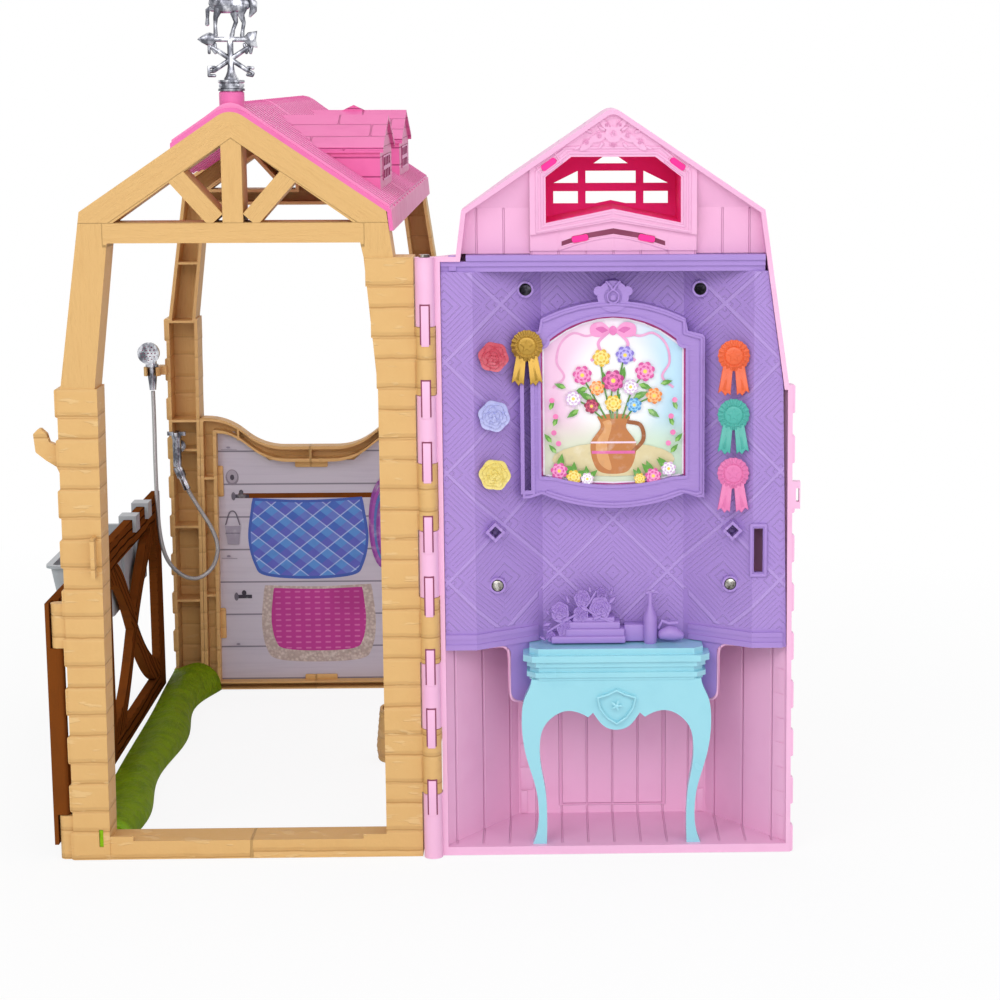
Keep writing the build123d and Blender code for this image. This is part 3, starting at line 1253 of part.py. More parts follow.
def picture_outline(grow):
    """Outline of the picture: arched top and foot, notched corners."""
    half = PICTURE_HALF
    step = PICTURE_STEP
    with BuildSketch() as face:
        with BuildLine():
            right_low = (half, PICTURE_LOW_Z)
            right_high = (half, PICTURE_HIGH_Z)
            head = (half - step, PICTURE_HIGH_Z + step)
            foot = (half - step * 1.6, PICTURE_LOW_Z - 0.6)
            ThreePointArc((-head[0], head[1]), (0, PICTURE_TOP_Z), head)
            ThreePointArc(head, (half - step * 0.8, PICTURE_HIGH_Z + step * 0.8 - 2.6), right_high)
            Line(right_high, right_low)
            Line(right_low, foot)
            ThreePointArc(foot, (0, PICTURE_FOOT_Z), (-foot[0], foot[1]))
            Line((-foot[0], foot[1]), (-half, PICTURE_LOW_Z))
            Line((-half, PICTURE_LOW_Z), (-half, PICTURE_HIGH_Z))
            ThreePointArc((-half, PICTURE_HIGH_Z), (step * 0.8 - half, PICTURE_HIGH_Z + step * 0.8 - 2.6),
                          (-head[0], head[1]))
        make_face()
        if grow:
            offset(amount=grow)
    return face.sketch


def frame_outline(grow):
    """Outline of the picture frame: stepped shoulders, arched head and foot."""
    low, high = FRAME_SIDE_Z
    with BuildSketch() as face:
        with BuildLine():
            Polyline((FRAME_STEP_HALF, FRAME_STEP_Z), (FRAME_STEP_HALF + 1.4, high + 2),
                     (FRAME_HALF - 1, high), (FRAME_HALF, high - 1.4), (FRAME_HALF, low),
                     (FRAME_HALF - 3.4, low), (FRAME_STEP_HALF, low + 2.4))
            ThreePointArc((FRAME_STEP_HALF, low + 2.4), (0, FRAME_FOOT_Z), (-FRAME_STEP_HALF, low + 2.4))
            Polyline((-FRAME_STEP_HALF, low + 2.4), (3.4 - FRAME_HALF, low), (-FRAME_HALF, low),
                     (-FRAME_HALF, high - 1.4), (1 - FRAME_HALF, high), (-FRAME_STEP_HALF - 1.4, high + 2),
                     (-FRAME_STEP_HALF, FRAME_STEP_Z))
            ThreePointArc((-FRAME_STEP_HALF, FRAME_STEP_Z), (0, FRAME_TOP_Z), (FRAME_STEP_HALF, FRAME_STEP_Z))
        make_face()
        if grow:
            offset(amount=grow)
    return face.sketch


def slot_outline(grow):
    """The slider's slot, from above the ribbon's top place to below its lowest."""
    low = SLIDER_TOP_Z - SLIDER_TRAVEL - KEEPER[1] / 2 - RUN
    high = SLIDER_TOP_Z + KEEPER[1] / 2 + RUN
    with BuildSketch() as face:
        with Locations((SLIDER_X, (low + high) / 2)):
            Rectangle(SLOT + 2 * grow, high - low + 2 * grow)
    return face.sketch


def picture_frame():
    """Deep moulded frame that stands off the purple wall, with the slider's slot at its left."""
    front = PICTURE_FRAME_DEPTH
    with BuildPart() as frame:
        with BuildSketch(door(front)):
            add(frame_outline(0))
            with Locations((0, HORSESHOE_Z)):
                Circle(HORSESHOE[0])
            add(slot_outline(SLOT_WALL))
        extrude(amount=-(RECESS_DEPTH - front))
        with BuildSketch(door(front - SLOT_RIM)):
            add(slot_outline(SLOT_WALL))
            add(frame_outline(0))
            add(frame_outline(-FRAME_WALL * 0.7), mode=Mode.SUBTRACT)
            add(slot_outline(SLOT_WALL))
            add(picture_outline(FRAME_WALL * 0.8))
            with Locations((0, HORSESHOE_Z)):
                Circle(HORSESHOE[0])
                Circle(HORSESHOE[1], mode=Mode.SUBTRACT)
                with Locations((0, HORSESHOE[0])):
                    Rectangle(HORSESHOE[1] * 1.1, HORSESHOE[0], mode=Mode.SUBTRACT)
            with Locations((-HORSESHOE[0] + 0.6, HORSESHOE_Z + 3), (HORSESHOE[0] - 0.6, HORSESHOE_Z + 3)):
                Circle(2.6)
        extrude(amount=-2 * SLOT_RIM)
        with BuildSketch(door(front - SLOT_RIM)):
            add(picture_outline(0))
        extrude(amount=-(PICTURE_DEPTH - front + SLOT_RIM), mode=Mode.SUBTRACT)
        with BuildSketch(door(PICTURE_DEPTH)):
            add(picture_outline(PICTURE_REBATE))
        extrude(amount=-RECESS_DEPTH, mode=Mode.SUBTRACT)
        with BuildSketch(door(front - SLOT_RIM)):
            add(slot_outline(0))
        extrude(amount=-RECESS_DEPTH, mode=Mode.SUBTRACT)
        with BuildSketch(door(front + FRAME_SKIN)):
            add(slot_outline((KEEPER[0] - SLOT) / 2 + FIT))
        extrude(amount=-RECESS_DEPTH, mode=Mode.SUBTRACT)
        add(behind_wall(), mode=Mode.SUBTRACT)
    return frame


def picture_card():
    """Printed card seated in the frame's rebate, with the ribs that hold it there."""
    with BuildPart() as card:
        with BuildSketch(door(PICTURE_DEPTH)):
            add(picture_outline(PICTURE_REBATE - FIT))
        extrude(amount=-PICTURE_CARD)
    return card


def rosette_outline(x, z, radius, count):
    """Scalloped disc of a prize ribbon or the petals of a rose."""
    with BuildSketch() as face:
        with Locations((x, z)):
            Circle(radius * 0.93)
            with PolarLocations(radius * 0.86, count):
                Circle(min(radius * 0.14 if count > PETALS else radius * 0.34, radius))
            Circle(radius, mode=Mode.INTERSECT)
    return face.sketch


def peg(x, z, face):
    """Square peg, set on its corner, behind a rosette."""
    with BuildPart() as stem:
        with BuildSketch(door(face)):
            with Locations(Location((x, z, 0), 45)):
                Rectangle((SOCKET_HOLE - FIT) * sqrt(2), (SOCKET_HOLE - FIT) * sqrt(2))
        extrude(amount=-PEG_LENGTH)
    return stem.part


def tails(x, z):
    """Two forked ribbon tails hanging from a rosette."""
    low = z - TAIL_LENGTH
    with BuildSketch() as face:
        for side in (-1, 1):
            Polygon((x, z), (x + side * 4.6, z - 4), (x + side * TAIL_SPREAD, low + 1.6),
                    (x + side * (TAIL_SPREAD - 2.6), low + 3.0), (x + side * (TAIL_SPREAD - 4.6), low),
                    (x + side * 1.4, low + 3.2), (x, z - 10), align=None)
    return face.sketch


def ribbon(x, z, back, pegged):
    """Prize ribbon: button and pleated disc over two tails, with its peg or its sliding neck."""
    with BuildPart() as prize:
        with BuildSketch(door(back)):
            add(rosette_outline(x, z, ROSETTE_RADIUS, 20))
        extrude(amount=ROSETTE * 0.7)
        with BuildSketch(door(back - ROSETTE * 0.7)):
            with Locations((x, z)):
                Circle(ROSETTE_RADIUS * 0.68)
        extrude(amount=ROSETTE * 0.3)
        with BuildSketch(door(back)):
            add(tails(x, z))
        extrude(amount=TAIL)
        if pegged:
            add(peg(x, z, back))
        else:
            with BuildSketch(door(back)):
                with Locations((x, z)):
                    Rectangle(SLOT - 2 * FIT, KEEPER[1])
            extrude(amount=-(PICTURE_FRAME_DEPTH + FRAME_SKIN + RUN - back))
    return prize


def slider_keeper():
    """Keeper behind the slot that holds the gold ribbon's neck."""
    wide, high, thick = KEEPER
    with BuildPart() as keeper:
        with BuildSketch(door(PICTURE_FRAME_DEPTH + FRAME_SKIN + RUN)):
            with Locations((SLIDER_X, SLIDER_TOP_Z)):
                Rectangle(wide, high)
        extrude(amount=-thick)
    return keeper


def rose(x, z):
    """Rose knob: three rings of petals on a peg."""
    back = SOCKET_FACE - RUN
    with BuildPart() as flower:
        for radius, height in ((1.0, 0.5), (0.72, 0.8), (0.42, 1.0)):
            with BuildSketch(door(back)):
                add(rosette_outline(x, z, ROSE_RADIUS * radius, PETALS))
            extrude(amount=ROSE * height)
        add(peg(x, z, back))
    return flower


def shelf_relief():
    """Vanity things moulded on the purple wall above the table: tray, posy, bottle and dish."""
    with BuildPart() as things:
        for depth, shapes in SHELF_THINGS:
            with BuildSketch(door(depth)):
                for x, z, wide, high, corner in shapes:
                    with Locations((x, SHELF_Z + z + high / 2)):
                        if corner:
                            RectangleRounded(wide, high, corner)
                        else:
                            Rectangle(wide, high)
            extrude(amount=-(RECESS_DEPTH - depth))
        with BuildSketch(door(POSY_DEPTH)):
            for x, z, radius in POSY:
                with Locations((x, SHELF_Z + z)):
                    add(rosette_outline(0, 0, radius, PETALS))
        extrude(amount=-(RECESS_DEPTH - POSY_DEPTH))
        add(behind_wall(), mode=Mode.SUBTRACT)
    return things


def table_plan(half, front):
    """Plan of one moulding of the table top, with its front corners cut."""
    return [(TABLE_X - half, RECESS_DEPTH), (TABLE_X - half, front + TABLE_CHAMFER),
            (TABLE_X - half + TABLE_CHAMFER, front), (TABLE_X + half - TABLE_CHAMFER, front),
            (TABLE_X + half, front + TABLE_CHAMFER), (TABLE_X + half, RECESS_DEPTH)]


def table_front():
    """Front outline of the table: cabriole legs and a scalloped apron."""
    with BuildSketch() as face:
        with BuildLine():
            Spline(*LEG_OUTSIDE)
            Line(LEG_OUTSIDE[-1], LEG_INSIDE[0])
            Spline(*LEG_INSIDE)
            Line(LEG_INSIDE[-1], APRON_DIP[0])
            Spline(*APRON_DIP, tangents=((0.5, -1), (1, 0)), tangent_scalars=(0.5, 1.0))
            Polyline(APRON_DIP[-1], (0, APRON_TOP_Z), LEG_OUTSIDE[0])
        make_face()
        mirror(about=Plane.YZ)
    with BuildSketch() as placed:
        with Locations((TABLE_X, 0)):
            add(face.sketch)
    return placed.sketch


def vanity_table():
    """Wall table with a moulded top, a shield on its apron and two curved legs."""
    with BuildPart() as table:
        for low, high, half, front in TABLE_SLICES:
            with BuildSketch(door_level(low)):
                Polygon(*table_plan(half, front), align=None)
            extrude(amount=high - low)
        with BuildSketch(door_level(APRON_DIP[-1][1])):
            with Locations((TABLE_X, RECESS_DEPTH)):
                Rectangle(2 * (APRON_HALF - APRON), 2 * (RECESS_DEPTH - APRON_DEPTH - APRON))
        extrude(amount=TABLE_SLICES[1][0] - APRON_DIP[-1][1], mode=Mode.SUBTRACT)
        with BuildSketch(door(APRON_DEPTH)):
            add(table_front())
        extrude(amount=-LEG_DEPTH)
        with BuildSketch(door(APRON_DEPTH + APRON)):
            with Locations((TABLE_X, (APRON_TOP_Z + SHIELD_Z[0]) / 2 - 4)):
                Rectangle(2 * (APRON_HALF - 2 * APRON), APRON_TOP_Z - SHIELD_Z[0] + 12)
        extrude(amount=-LEG_DEPTH, mode=Mode.SUBTRACT)
        for side in (-1, 1):
            with BuildSketch(door_level(PANEL_DROP_Z + DROP_RADIUS)):
                with Locations((TABLE_X + side * (APRON_HALF - APRON / 2),
                                (APRON_DEPTH + RECESS_DEPTH) / 2 + 1)):
                    Rectangle(APRON, RECESS_DEPTH - APRON_DEPTH - 2)
            extrude(amount=TABLE_SLICES[-1][1] - PANEL_DROP_Z - DROP_RADIUS)
        low, high = SHIELD_Z
        half = [(x, low + up) for x, up in SHIELD_SIDE]
        with BuildSketch(door(APRON_DEPTH - 1)):
            with Locations((TABLE_X, 0)):
                Polygon((0, high), *half, (0, low), *mirrored(half), align=None)
                offset(amount=-1.3, kind=Kind.INTERSECTION, mode=Mode.SUBTRACT)
        extrude(amount=-1.2)
        add(behind_wall(), mode=Mode.SUBTRACT)
    return table


# ---- gate and trough ------------------------------------------------------------------------

def board(points):
    """One curved board of the gate, given by its middle line in depth and height."""
    with BuildSketch() as strip:
        with BuildLine():
            upper = Spline(*[(depth, z + BRACE / 2) for depth, z in points])
            lower = Spline(*[(depth, z - BRACE / 2) for depth, z in points])
            Line(upper @ 0, lower @ 0)
            Line(upper @ 1, lower @ 1)
        make_face()
    return strip.sketch


def gate_face():
    """Side view of the gate: stiles, rails and crossed, bowed boards."""
    inner_low = GATE_LOW_Z + LOW_RAIL
    inner_high = GATE_TOP_Z - TOP_RAIL
    middle = (inner_low + inner_high) / 2
    bays = ((GATE_START + STILE, MID_STILE_DEPTH), (MID_STILE_DEPTH + STILE, GATE_END - STILE))
    with BuildSketch() as face:
        with Locations(((GATE_START + GATE_END) / 2, (GATE_LOW_Z + GATE_TOP_Z) / 2)):
            Rectangle(GATE_END - GATE_START, GATE_TOP_Z - GATE_LOW_Z)
        for near, far in bays:
            with Locations(((near + far) / 2, middle)):
                Rectangle(far - near, inner_high - inner_low, mode=Mode.SUBTRACT)
        for near, far in bays:
            span = far - near
            for sign in (-1, 1):
                rise = sign * (inner_high - inner_low) / 2
                add(board([(near - 4, middle - rise * 0.96), (near + span * 0.25, middle - rise * 0.66),
                           (near + span * 0.5, middle + sign * 5), (near + span * 0.75, middle + rise * 0.66),
                           (far + 4, middle + rise * 0.96)]))
    return face.sketch


def gate_leaf():
    """Side gate: rustic crossed boards, with the round rod and pintles it swings on."""
    x, depth = GATE_PIVOT
    inner = x - GATE_OFFSET
    thin = x - BRACKET_RADIUS - 2 * RUN
    top = GATE_TOP_Z - BRACKET_LENGTH
    with BuildPart() as leaf:
        with BuildSketch(crosswise(inner)):
            add(gate_face())
        extrude(amount=-GATE_FACE)
        for low, high in ((GATE_LOW_Z - 1, BRACKET_LENGTH + RUN), (top - RUN, GATE_TOP_Z + 1)):
            with BuildSketch(crosswise(thin)):
                with Locations(((GATE_START + depth + 8) / 2, (low + high) / 2)):
                    Rectangle(depth + 8 - GATE_START + 0.02, high - low)
            extrude(amount=GATE_FACE, mode=Mode.SUBTRACT)
        with BuildSketch(Plane.XY.offset(BRACKET_LENGTH + RUN)):
            with Locations((x, FRONT + depth)):
                Circle(GATE_ROD_RADIUS)
        extrude(amount=top - BRACKET_LENGTH - 2 * RUN)
        for low in (BRACKET_LENGTH - PINTLE_LENGTH + RUN, top - 2 * RUN):
            with BuildSketch(Plane.XY.offset(low)):
                with Locations((x, FRONT + depth)):
                    Circle(PINTLE_RADIUS)
            extrude(amount=PINTLE_LENGTH + RUN)
    return leaf


def trough():
    """Feed trough that hangs on the outside of the gate by two hooks."""
    start, end = TROUGH_DEPTHS
    outer, inner = TROUGH_SIDES
    foot = TROUGH_RIM_Z - TROUGH_HEIGHT
    hang = inner + 1.8
    with BuildPart() as tub:
        for wall, mode in ((0, Mode.ADD), (TROUGH_WALL, Mode.SUBTRACT)):
            for z, left, near, far in ((foot + wall, outer + TROUGH_TAPER, start + 4, end - 4),
                                       (TROUGH_RIM_Z, outer + TROUGH_LIP, start, end)):
                with BuildSketch(Plane.XY.offset(z)):
                    with Locations(((left + inner) / 2, FRONT + (near + far) / 2)):
                        RectangleRounded(inner - left - 2 * wall, far - near - 2 * wall, 5 - wall)
            loft(mode=mode)
        with BuildSketch(Plane.XY.offset(TROUGH_RIM_Z - TROUGH_WALL)):
            with Locations(((outer + inner) / 2, FRONT + (start + end) / 2)):
                RectangleRounded(inner - outer, end - start + 2 * TROUGH_LIP, 5 + TROUGH_LIP)
                with Locations((TROUGH_LIP / 2, 0)):
                    RectangleRounded(inner - outer - TROUGH_LIP - 2 * TROUGH_WALL,
                                     end - start - 2 * TROUGH_WALL, 5 - TROUGH_WALL, mode=Mode.SUBTRACT)
        extrude(amount=TROUGH_WALL)
        arm = GATE_TOP_Z + FIT + 0.1
        lip = GATE_PIVOT[0] - GATE_OFFSET + FIT + 0.1
        for depth in TROUGH_HOOKS:
            with BuildSketch(upright(depth - HOOK_WIDTH / 2)):
                Polygon((inner - 1, foot + 8), (hang, foot + 8), (hang, arm), (lip, arm),
                        (lip, HOOK_LIP_Z), (lip + HOOK, HOOK_LIP_Z), (lip + HOOK, arm + HOOK),
                        (inner - 1, arm + HOOK), align=None)
            extrude(amount=-HOOK_WIDTH)
    return tub


# ---- wash set -----------------------------------------------------------------------------

def tap():
    """Plated tap: flange on the rear leg, bent body with a spout, and a cross handle."""
    x, z = TAP
    with BuildPart() as fitting:
        with BuildSketch(upright(REAR)):
            with Locations((x, z)):
                Circle(4.6)
        extrude(amount=2)
        with BuildSketch(upright(REAR)):
            with Locations((x, z)):
                Circle(2.7)
        extrude(amount=REAR - TAP_DEPTH)
        with BuildSketch(Plane.XY.offset(HOSE_JOINT[1])):
            with Locations((x, FRONT + TAP_DEPTH)):
                Circle(2.9)
        extrude(amount=z - HOSE_JOINT[1] + 7)
        with BuildSketch(Plane.XY.offset(z + 7)):
            with Locations((x, FRONT + TAP_DEPTH)):
                Circle(3.5)
        extrude(amount=2)
        with BuildSketch(Plane.XY.offset(z + 9)):
            with Locations((x, FRONT + TAP_DEPTH)):
                SlotOverall(13, 3.4)
                SlotOverall(13, 3.4, rotation=90)
        extrude(amount=2.6)
    return fitting


def hose_connector():
    """Stepped coupling between the tap's spout and the hose."""
    start = Vector(TAP[0], FRONT + TAP_DEPTH, HOSE_JOINT[1])
    end = Vector(HOSE[-1][0], FRONT + HOSE[-1][1], HOSE[-1][2])
    line = end - start
    with BuildPart() as coupling:
        with BuildSketch(Plane(origin=start, z_dir=line)):
            Circle(3.3)
        extrude(amount=line.length * 0.45)
        with BuildSketch(Plane(origin=start, z_dir=line)):
            Circle(2.4)
        extrude(amount=line.length)
        with BuildSketch(Plane.XY.offset(HOSE_JOINT[1])):
            with Locations((TAP[0], FRONT + TAP_DEPTH)):
                Circle(20)
        extrude(amount=20, mode=Mode.SUBTRACT)
        with Locations((HOSE[-1][0], FRONT + HOSE[-1][1], HOSE[-1][2])):
            Sphere(HOSE_RADIUS + FIT / 2, mode=Mode.SUBTRACT)
    return coupling


def shower_head():
    """Hand shower: round rose on an upright handle that rests in its bracket."""
    with BuildPart() as head:
        with BuildSketch(Plane.XY.offset(HANDLE_FOOT_Z)):
            with Locations((SHOWER_X, FRONT + SHOWER_DEPTH)):
                Circle(2.2)
        with BuildSketch(Plane.XY.offset(HANDLE_FOOT_Z + 10)):
            with Locations((SHOWER_X, FRONT + SHOWER_DEPTH)):
                Circle(HANDLE_RADIUS)
        loft()
        with BuildSketch(Plane.XY.offset(HANDLE_FOOT_Z + 10)):
            with Locations((SHOWER_X, FRONT + SHOWER_DEPTH)):
                Circle(HANDLE_RADIUS)
        extrude(amount=SHOWER_Z - HANDLE_FOOT_Z - 12)
        with BuildSketch(Plane.XY.offset(SHOWER_BRACKET_Z + SHOWER_BRACKET + RUN)):
            with Locations((SHOWER_X, FRONT + SHOWER_DEPTH)):
                Circle(HANDLE_RADIUS + 1.2)
        extrude(amount=1.6)
        with BuildSketch(upright(SHOWER_DEPTH - 5)):
            with Locations((SHOWER_X - 1.6, SHOWER_Z)):
                Circle(SHOWER_RADIUS)
        extrude(amount=-4)
        with BuildSketch(upright(SHOWER_DEPTH - 1)):
            with Locations((SHOWER_X - 1.6, SHOWER_Z)):
                Circle(SHOWER_RADIUS - 0.6)
        extrude(amount=-4.6, taper=25)
        with BuildSketch(upright(SHOWER_DEPTH - 5)):
            with Locations((SHOWER_X - 1.6, SHOWER_Z)):
                Circle(0.7)
                with PolarLocations(2.8, 6):
                    Circle(0.6)
                with PolarLocations(5.2, 12):
                    Circle(0.6)
        extrude(amount=-0.8, mode=Mode.SUBTRACT)
    return head


def bend_radii(points):
    """Radius for each corner of the hose, from its shorter run and its turn."""
    radii = []
    for before, corner, after in zip(points, points[1:], points[2:]):
        first = Vector(*corner) - Vector(*before)
        second = Vector(*after) - Vector(*corner)
        turn = acos(first.normalized().dot(second.normalized()))
        radii.append(0.45 * min(first.length, second.length) / tan(turn / 2))
    return radii


def shower_hose():
    """Bendy hose from the tap's coupling round to the foot of the shower."""
    points = [(x, FRONT + depth, z) for x, depth, z in HOSE]
    radii = bend_radii(points)
    print("hose bend radii:", [round(radius, 1) for radius in radii])
    with BuildPart() as hose:
        with BuildLine() as route:
            FilletPolyline(*points, radius=radii)
        start = Vector(*points[0])
        with BuildSketch(Plane(origin=start, z_dir=Vector(*points[1]) - start)):
            Circle(HOSE_RADIUS)
        sweep(path=route.line)
    return hose


# ---- the assembly ---------------------------------------------------------------------------

finish(front_frame(), "front_gable_frame")
finish(rear_frame(), "rear_gable_frame")
finish(wall_frame(), "rear_wall_frame")
finish(wall_card(), "rear_wall_card")
finish(grass(), "grass_base")
finish(side_sill(), "right_side_sill")
finish(basket(), "woven_basket")
finish(roof(), "roof_shell")
for name, place in zip(("front", "rear"), DORMER_DEPTHS):
    finish(dormer(place, name == "rear"), f"dormer_{name}")
    finish(dormer_window(place), f"dormer_window_{name}")
finish(pedestal(), "vane_pedestal")
finish(collar(), "vane_collar")
finish(weather_vane(), "weather_vane")
finish(hinge_pin(), "hinge_pin")
finish(facade_shell(), "facade_shell")
finish(hayloft_window(), "hayloft_window")
finish(wallpaper_panel(), "wallpaper_panel")
finish(cornice(), "cornice")
for number, (screw_x, screw_z, boss_face) in enumerate(SCREWS):
    finish(panel_screw(-screw_x, screw_z, boss_face), f"panel_screw_{2 * number + 1}")
    finish(panel_screw(screw_x, screw_z, boss_face), f"panel_screw_{2 * number + 2}")
finish(picture_frame(), "picture_frame")
finish(picture_card(), "picture_card")
finish(shelf_relief(), "shelf_relief")
finish(vanity_table(), "vanity_table")
for row, name in ((0, "orange"), (1, "teal"), (2, "pink")):
    level = SOCKET_TOP_Z - row * SOCKET_PITCH
    finish(ribbon(SOCKET_HALF, level, SOCKET_FACE - RUN, True), f"ribbon_{name}")
for row, name in ((0, "red"), (1, "lavender"), (2, "yellow")):
    finish(rose(-SOCKET_HALF, SOCKET_TOP_Z - row * SOCKET_PITCH), f"rose_{name}")
finish(ribbon(SLIDER_X, SLIDER_TOP_Z, PICTURE_FRAME_DEPTH - SLOT_RIM - RUN, False), "gold_ribbon")
finish(slider_keeper(), "ribbon_keeper")
finish(gate_leaf(), "gate_leaf")
finish(trough(), "feed_trough")
finish(tap(), "wash_tap")
finish(hose_connector(), "hose_connector")
finish(shower_head(), "shower_head")
finish(shower_hose(), "shower_hose")
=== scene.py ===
# %% [markdown]
# # A folding toy stable
# The stable is a shelf of mouldings: two tan gable frames, a pink roof, and a pink facade that
# folds open on a long hinge. The solids come ready made, so this lesson gives them their finishes
# and adds what is too fine to be a solid: printing, petals, pleats, weave and grain.
# Everything is in metres, X across the barn, Y into it and Z up. The shapes' own numbers are in
# millimetres, and `MM` turns them into metres.

import json
import math

import bmesh
import bpy
from mathutils import Matrix, Vector


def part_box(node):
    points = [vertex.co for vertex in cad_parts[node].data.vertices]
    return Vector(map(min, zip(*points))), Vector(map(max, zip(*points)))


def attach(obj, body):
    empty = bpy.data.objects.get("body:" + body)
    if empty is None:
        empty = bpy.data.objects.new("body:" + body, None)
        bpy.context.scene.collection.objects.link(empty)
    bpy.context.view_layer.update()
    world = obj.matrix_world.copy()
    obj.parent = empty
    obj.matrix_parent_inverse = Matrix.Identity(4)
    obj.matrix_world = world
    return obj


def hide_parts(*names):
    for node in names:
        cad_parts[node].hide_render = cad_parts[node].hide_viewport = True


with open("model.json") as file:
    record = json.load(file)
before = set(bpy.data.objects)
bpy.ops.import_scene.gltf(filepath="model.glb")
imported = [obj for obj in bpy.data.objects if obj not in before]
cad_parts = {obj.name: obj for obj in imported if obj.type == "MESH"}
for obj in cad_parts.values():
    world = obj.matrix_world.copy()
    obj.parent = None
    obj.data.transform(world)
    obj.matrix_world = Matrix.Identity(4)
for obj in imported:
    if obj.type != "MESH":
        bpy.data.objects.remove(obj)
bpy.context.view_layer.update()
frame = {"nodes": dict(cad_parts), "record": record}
nodes = frame["nodes"]
print("solids:", len(nodes))

MM = 0.001
FRONT = -0.011                 # front face of the front frame
DOOR_X = 0.2034                # middle of the facade when it stands open
ROOF_SLOPE = 0.673             # how far the main roof falls for each step outwards
SOCKETS_OUT = 65.3             # sockets for roses and ribbons, from the facade's middle
SOCKET_ROWS = (281.0, 248.6, 216.2)


def at(x, depth, z):
    """A place in millimetres, with its depth behind the front frame's face."""
    return Vector((x * MM, FRONT + depth * MM, z * MM))


def place_object(name, data):
    """Put a mesh, a curve, a lens or a lamp into the scene."""
    item = bpy.data.objects.new(name, data)
    bpy.context.scene.collection.objects.link(item)
    return item


# %% [markdown]
# ## Camera
# A long lens from a little above gives upright lines with only a slight perspective. The stable
# stands left of the lens's axis, so the lens is shifted sideways instead of being turned.

# %% Camera
lens = bpy.data.cameras.new("studio_lens")
lens.sensor_width = 36.0
lens.lens = 86.4
lens.shift_x = -0.12356
lens.clip_start = 0.05
lens.clip_end = 20.0
camera = place_object("studio_camera", lens)
camera.location = (0.169352, -1.304379, 0.433293)
camera.rotation_euler = (math.pi / 2 - 0.17673, 0.00165, -0.03053)
bpy.context.scene.camera = camera
bpy.context.scene.view_settings.view_transform = "Standard"


# %% [markdown]
# ## Writing patterns as sums
# A pattern is easier to read as a sum than as a picture of wires. `Wire` holds one output of a node
# tree and turns `+`, `*` and `abs` into Math nodes, so a groove is one line of Python.

# %% Wires and finishes
def add_node(tree, kind, inputs=None, **settings):
    """Add a node; wires and sockets are linked to its inputs, and other values are set on them."""
    node = tree.nodes.new(kind)
    for name, value in settings.items():
        setattr(node, name, value)
    for place, value in (inputs or {}).items():
        if isinstance(value, Wire):
            value = value.socket
        if isinstance(value, bpy.types.NodeSocket):
            tree.links.new(value, node.inputs[place])
        else:
            node.inputs[place].default_value = value
    return node


def empty_tree(owner):
    """Switch a material or a world to nodes, with none in it yet."""
    owner.use_nodes = True
    owner.node_tree.nodes.clear()
    return owner.node_tree


class Wire:
    """One output in a node tree, to do sums with."""

    def __init__(self, tree, socket):
        self.tree = tree
        self.socket = socket

    def sum(self, operation, *values):
        node = add_node(self.tree, "ShaderNodeMath", dict(enumerate(values)), operation=operation)
        return Wire(self.tree, node.outputs[0])

    def __rsub__(self, other):
        return self.sum("SUBTRACT", other, self)

    def __neg__(self):
        return self * -1.0

    def ramp(self, low, high):
        """0 below low, 1 above high, and a soft step between."""
        node = add_node(self.tree, "ShaderNodeMapRange", {"Value": self, "From Min": low, "From Max": high},
                        interpolation_type="SMOOTHSTEP")
        return Wire(self.tree, node.outputs["Result"])

    def fall(self, low, high):
        """1 below low, 0 above high, and a soft step between."""
        return 1.0 - self.ramp(low, high)

    def zigzag(self):
        """0.5 at every whole number, down to 0 halfway between two of them."""
        return abs(self.fract() - 0.5)


for method, operation in (("__add__", "ADD"), ("__radd__", "ADD"), ("__mul__", "MULTIPLY"),
                          ("__rmul__", "MULTIPLY"), ("__sub__", "SUBTRACT"), ("__truediv__", "DIVIDE"),
                          ("__abs__", "ABSOLUTE"), ("fract", "FRACT"), ("floor", "FLOOR"), ("sin", "SINE"),
                          ("highest", "MAXIMUM"), ("lowest", "MINIMUM")):
    setattr(Wire, method, lambda wire, *others, kind=operation: wire.sum(kind, wire, *others))


def srgb(code):
    """Turn a paint chip's hex code into the linear colour a shader wants, fully opaque."""
    parts = [int(code[place:place + 2], 16) / 255 for place in (0, 2, 4)]
    return (*(p / 12.92 if p <= 0.04045 else ((p + 0.055) / 1.055) ** 2.4 for p in parts), 1.0)


